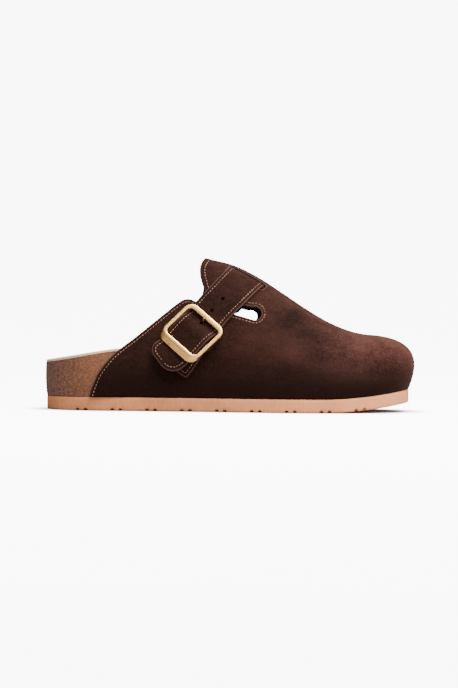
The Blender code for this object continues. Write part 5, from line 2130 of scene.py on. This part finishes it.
    def tab(self) -> None:
        """Folded tab: one layer sewn down, round the centre bar and back over itself."""
        upper_face = LAST.gap + LAST.wall
        far, height = self.centre()
        bend = self.centre_radius + LAST.gap + self.tab_layer / 2
        low = LAST.gap + self.tab_layer / 2
        high = low + LAST.gap + self.tab_layer
        end = far - self.tab_length
        start, drop = far - self.tab_fold[-1][0] * bend, height + bend - high
        turns = np.radians(self.tab_bend)
        path = [(x, low, 0.0) for x in np.linspace(end, far - bend, self.tab_low_rows + 1)]
        path += [(far + bend * math.cos(t), height + bend * math.sin(t), 1.0) for t in turns]
        path += [(far - step * bend, high + drop * share, flat) for step, share, flat in self.tab_fold]
        path += [(x, high, 0.0) for x in np.linspace(start, end, self.tab_high_rows + 1)[1:]]
        rows, half, wide = np.array(path), STRAP.width / 2, self.tab_columns
        side = np.linspace(-half, half, wide)[None].repeat(len(rows), 0)
        along = rows[:, :1].repeat(wide, 1)
        lift, flat = (upper_face + rows[:, 1:2]).repeat(wide, 1), rows[:, 2:3].repeat(wide, 1)
        turn = self.tab_turn * ease((far - bend - along) / self.tab_turn_over)
        reach = along - far
        turned_along = far + reach * np.cos(turn) - side * np.sin(turn)
        turned_side = side * np.cos(turn) + reach * np.sin(turn)
        item = lay_grid("tab_sheet", STRAP.place(turned_along, turned_side, lift, flat))

        def outline(spots: Array) -> Array:
            """Distance inside the tab's outline, with rounded corners at its free end."""
            a, b = self.tab_round - (spots[:, 0] - end), np.abs(spots[:, 1]) - (half - self.tab_round)
            plain = np.minimum(spots[:, 0] - end, half - np.abs(spots[:, 1]))
            return np.where((a > 0) & (b > 0), self.tab_round - np.hypot(a, b), plain)

        def keep(_: Array, spots: Array) -> Array:
            """Distance inside the outline and outside the prong's slot in the fold."""
            long = bend + self.tab_layer + self.tab_slot / 4
            slot = np.maximum(np.abs(spots[:, 0] - far) - long, np.abs(spots[:, 1]) - self.tab_slot / 2)
            return np.minimum(outline(spots), slot)

        marks = trim(item, keep, np.stack([along.ravel(), side.ravel()], axis=-1))
        distance = outline(marks)
        store(item.data, "edge", distance)
        out = STRAP.buckle_plane()[3]
        level = read_places(item.data) @ out
        face_outward(item, out, (level > level.mean()) & (marks[:, 0] < far - self.tab_back))
        lines = []
        for line, normals in contours(item.data, distance, self.seam_inset):
            facing = normals @ out > self.tab_facing
            breaks = np.where(np.diff(facing.astype(int)) != 0)[0] + 1
            for part in np.split(np.arange(len(line)), breaks):
                if facing[part[0]] and len(part) > 3:
                    lines.append((line[part] + normals[part] * self.tab_layer / 2, normals[part]))
        thicken(item, self.tab_layer, self.tab_edge_round)
        finishes = [Suede("tab_suede_face"), RawEdge("tab_cut_edge")]
        hand_over(item, "buckle_tab_leather", ["buckle_tab"], finishes)
        STRAP_STITCHING.sew("tab_seam_stitches", lines, "tab_thread")

    def build(self) -> None:
        """Builds the buckle, its prong and its tab."""
        item = close_shell([self.frame_ring(), *self.bar_and_ears()], 45.0)
        hand_over(item, "buckle_frame_brass", ["buckle_frame"], [Brass("brushed_brass")])
        self.prong()
        self.tab()


# Studio


@dataclass
class Photographer:
    """Camera, lights and the pale floor of the photograph."""

    distance: float = 4.0
    view_height: float = 0.5115
    elevation: float = 1.5
    roll: float = 0.50
    aim: Triple = (0.0004, -0.045, 0.0508)
    far_clip: float = 20.0
    lamp_aim: Triple = (0.0, 0.0, 0.04)
    floor_reach: float = 9.0
    floor_drop: float = 0.0001
    sky_seen: float = 8.6
    sky_light: float = 0.40

    def camera(self) -> None:
        """Adds the camera at the photograph's angle."""
        data = bpy.data.cameras.new("photo_camera")
        item = bpy.data.objects.new("photo_camera", data)
        bpy.context.scene.collection.objects.link(item)
        data.lens = data.sensor_width * self.distance / self.view_height
        data.clip_end = self.far_clip
        tilt = math.radians(self.elevation)
        back = Vector((0.0, -math.cos(tilt), math.sin(tilt)))
        item.location = Vector(self.aim) + back * self.distance
        turn = (-back).to_track_quat("-Z", "Y").to_matrix() @ Matrix.Rotation(math.radians(self.roll), 3, "Z")
        item.rotation_euler = turn.to_euler()
        bpy.context.scene.camera = item

    def lamp(self, name: str, place: Sequence[float], size: Sequence[float], power: float) -> None:
        """Adds a soft area light that looks at the shoe.

        Args:
            name: The light's name.
            place: Where it stands.
            size: Its width and height.
            power: Its power in watts.
        """
        data = bpy.data.lights.new(name, "AREA")
        data.shape, data.size, data.size_y = "RECTANGLE", size[0], size[1]
        data.energy = power
        item = bpy.data.objects.new(name, data)
        bpy.context.scene.collection.objects.link(item)
        item.location = place
        item.rotation_euler = (Vector(self.lamp_aim) - Vector(place)).to_track_quat("-Z", "Y").to_euler()

    def floor(self) -> None:
        """Lays the pale floor, which runs out of sight on every side."""
        reach = np.linspace(-self.floor_reach, self.floor_reach, 19)
        item = lay_grid("studio_floor", points(reach[None, :], reach[:, None], -self.floor_drop))
        item.data.materials.append(Paper().material())
        item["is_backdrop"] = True

    def world(self) -> None:
        """Sets a plain white surround, brighter to the camera than to the shoe."""
        world = bpy.data.worlds.new("studio_world")
        bpy.context.scene.world = world
        graph = Graph(world)
        seen = graph.node("ShaderNodeLightPath", {}, {}, "Is Camera Ray")
        graph.set(Color=(1.0, 1.0, 1.0), Strength=seen * self.sky_seen + self.sky_light)

    def build(self) -> None:
        """Sets up the whole studio."""
        self.camera()
        self.floor()
        self.world()
        self.lamp("key_softbox", (0.40, -0.35, 1.20), (1.2, 0.8), 74.0)
        self.lamp("front_fill", (-0.3, -1.7, 0.5), (1.4, 1.0), 8.0)
        self.lamp("toe_rim", (1.3, -0.35, 0.40), (0.7, 0.6), 9.0)


def report_sizes() -> None:
    low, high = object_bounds()
    boxes = {"cad": [list(CAD_BOX[0]), list(CAD_BOX[1])], "visual": [list(low), list(high)]}
    for name, (low, high) in boxes.items():
        LOG.info("%s box: %s to %s", name, [round(v, 4) for v in low], [round(v, 4) for v in high])


def main() -> None:
    """Builds the studio and every piece of the shoe."""
    logging.basicConfig(level=logging.INFO, format="%(name)s: %(message)s")
    Photographer().build()
    Sole().build()
    Upper().build()
    STRAP.build()
    Buckle().build()
    report_sizes()


if __name__ == "__main__":
    main()
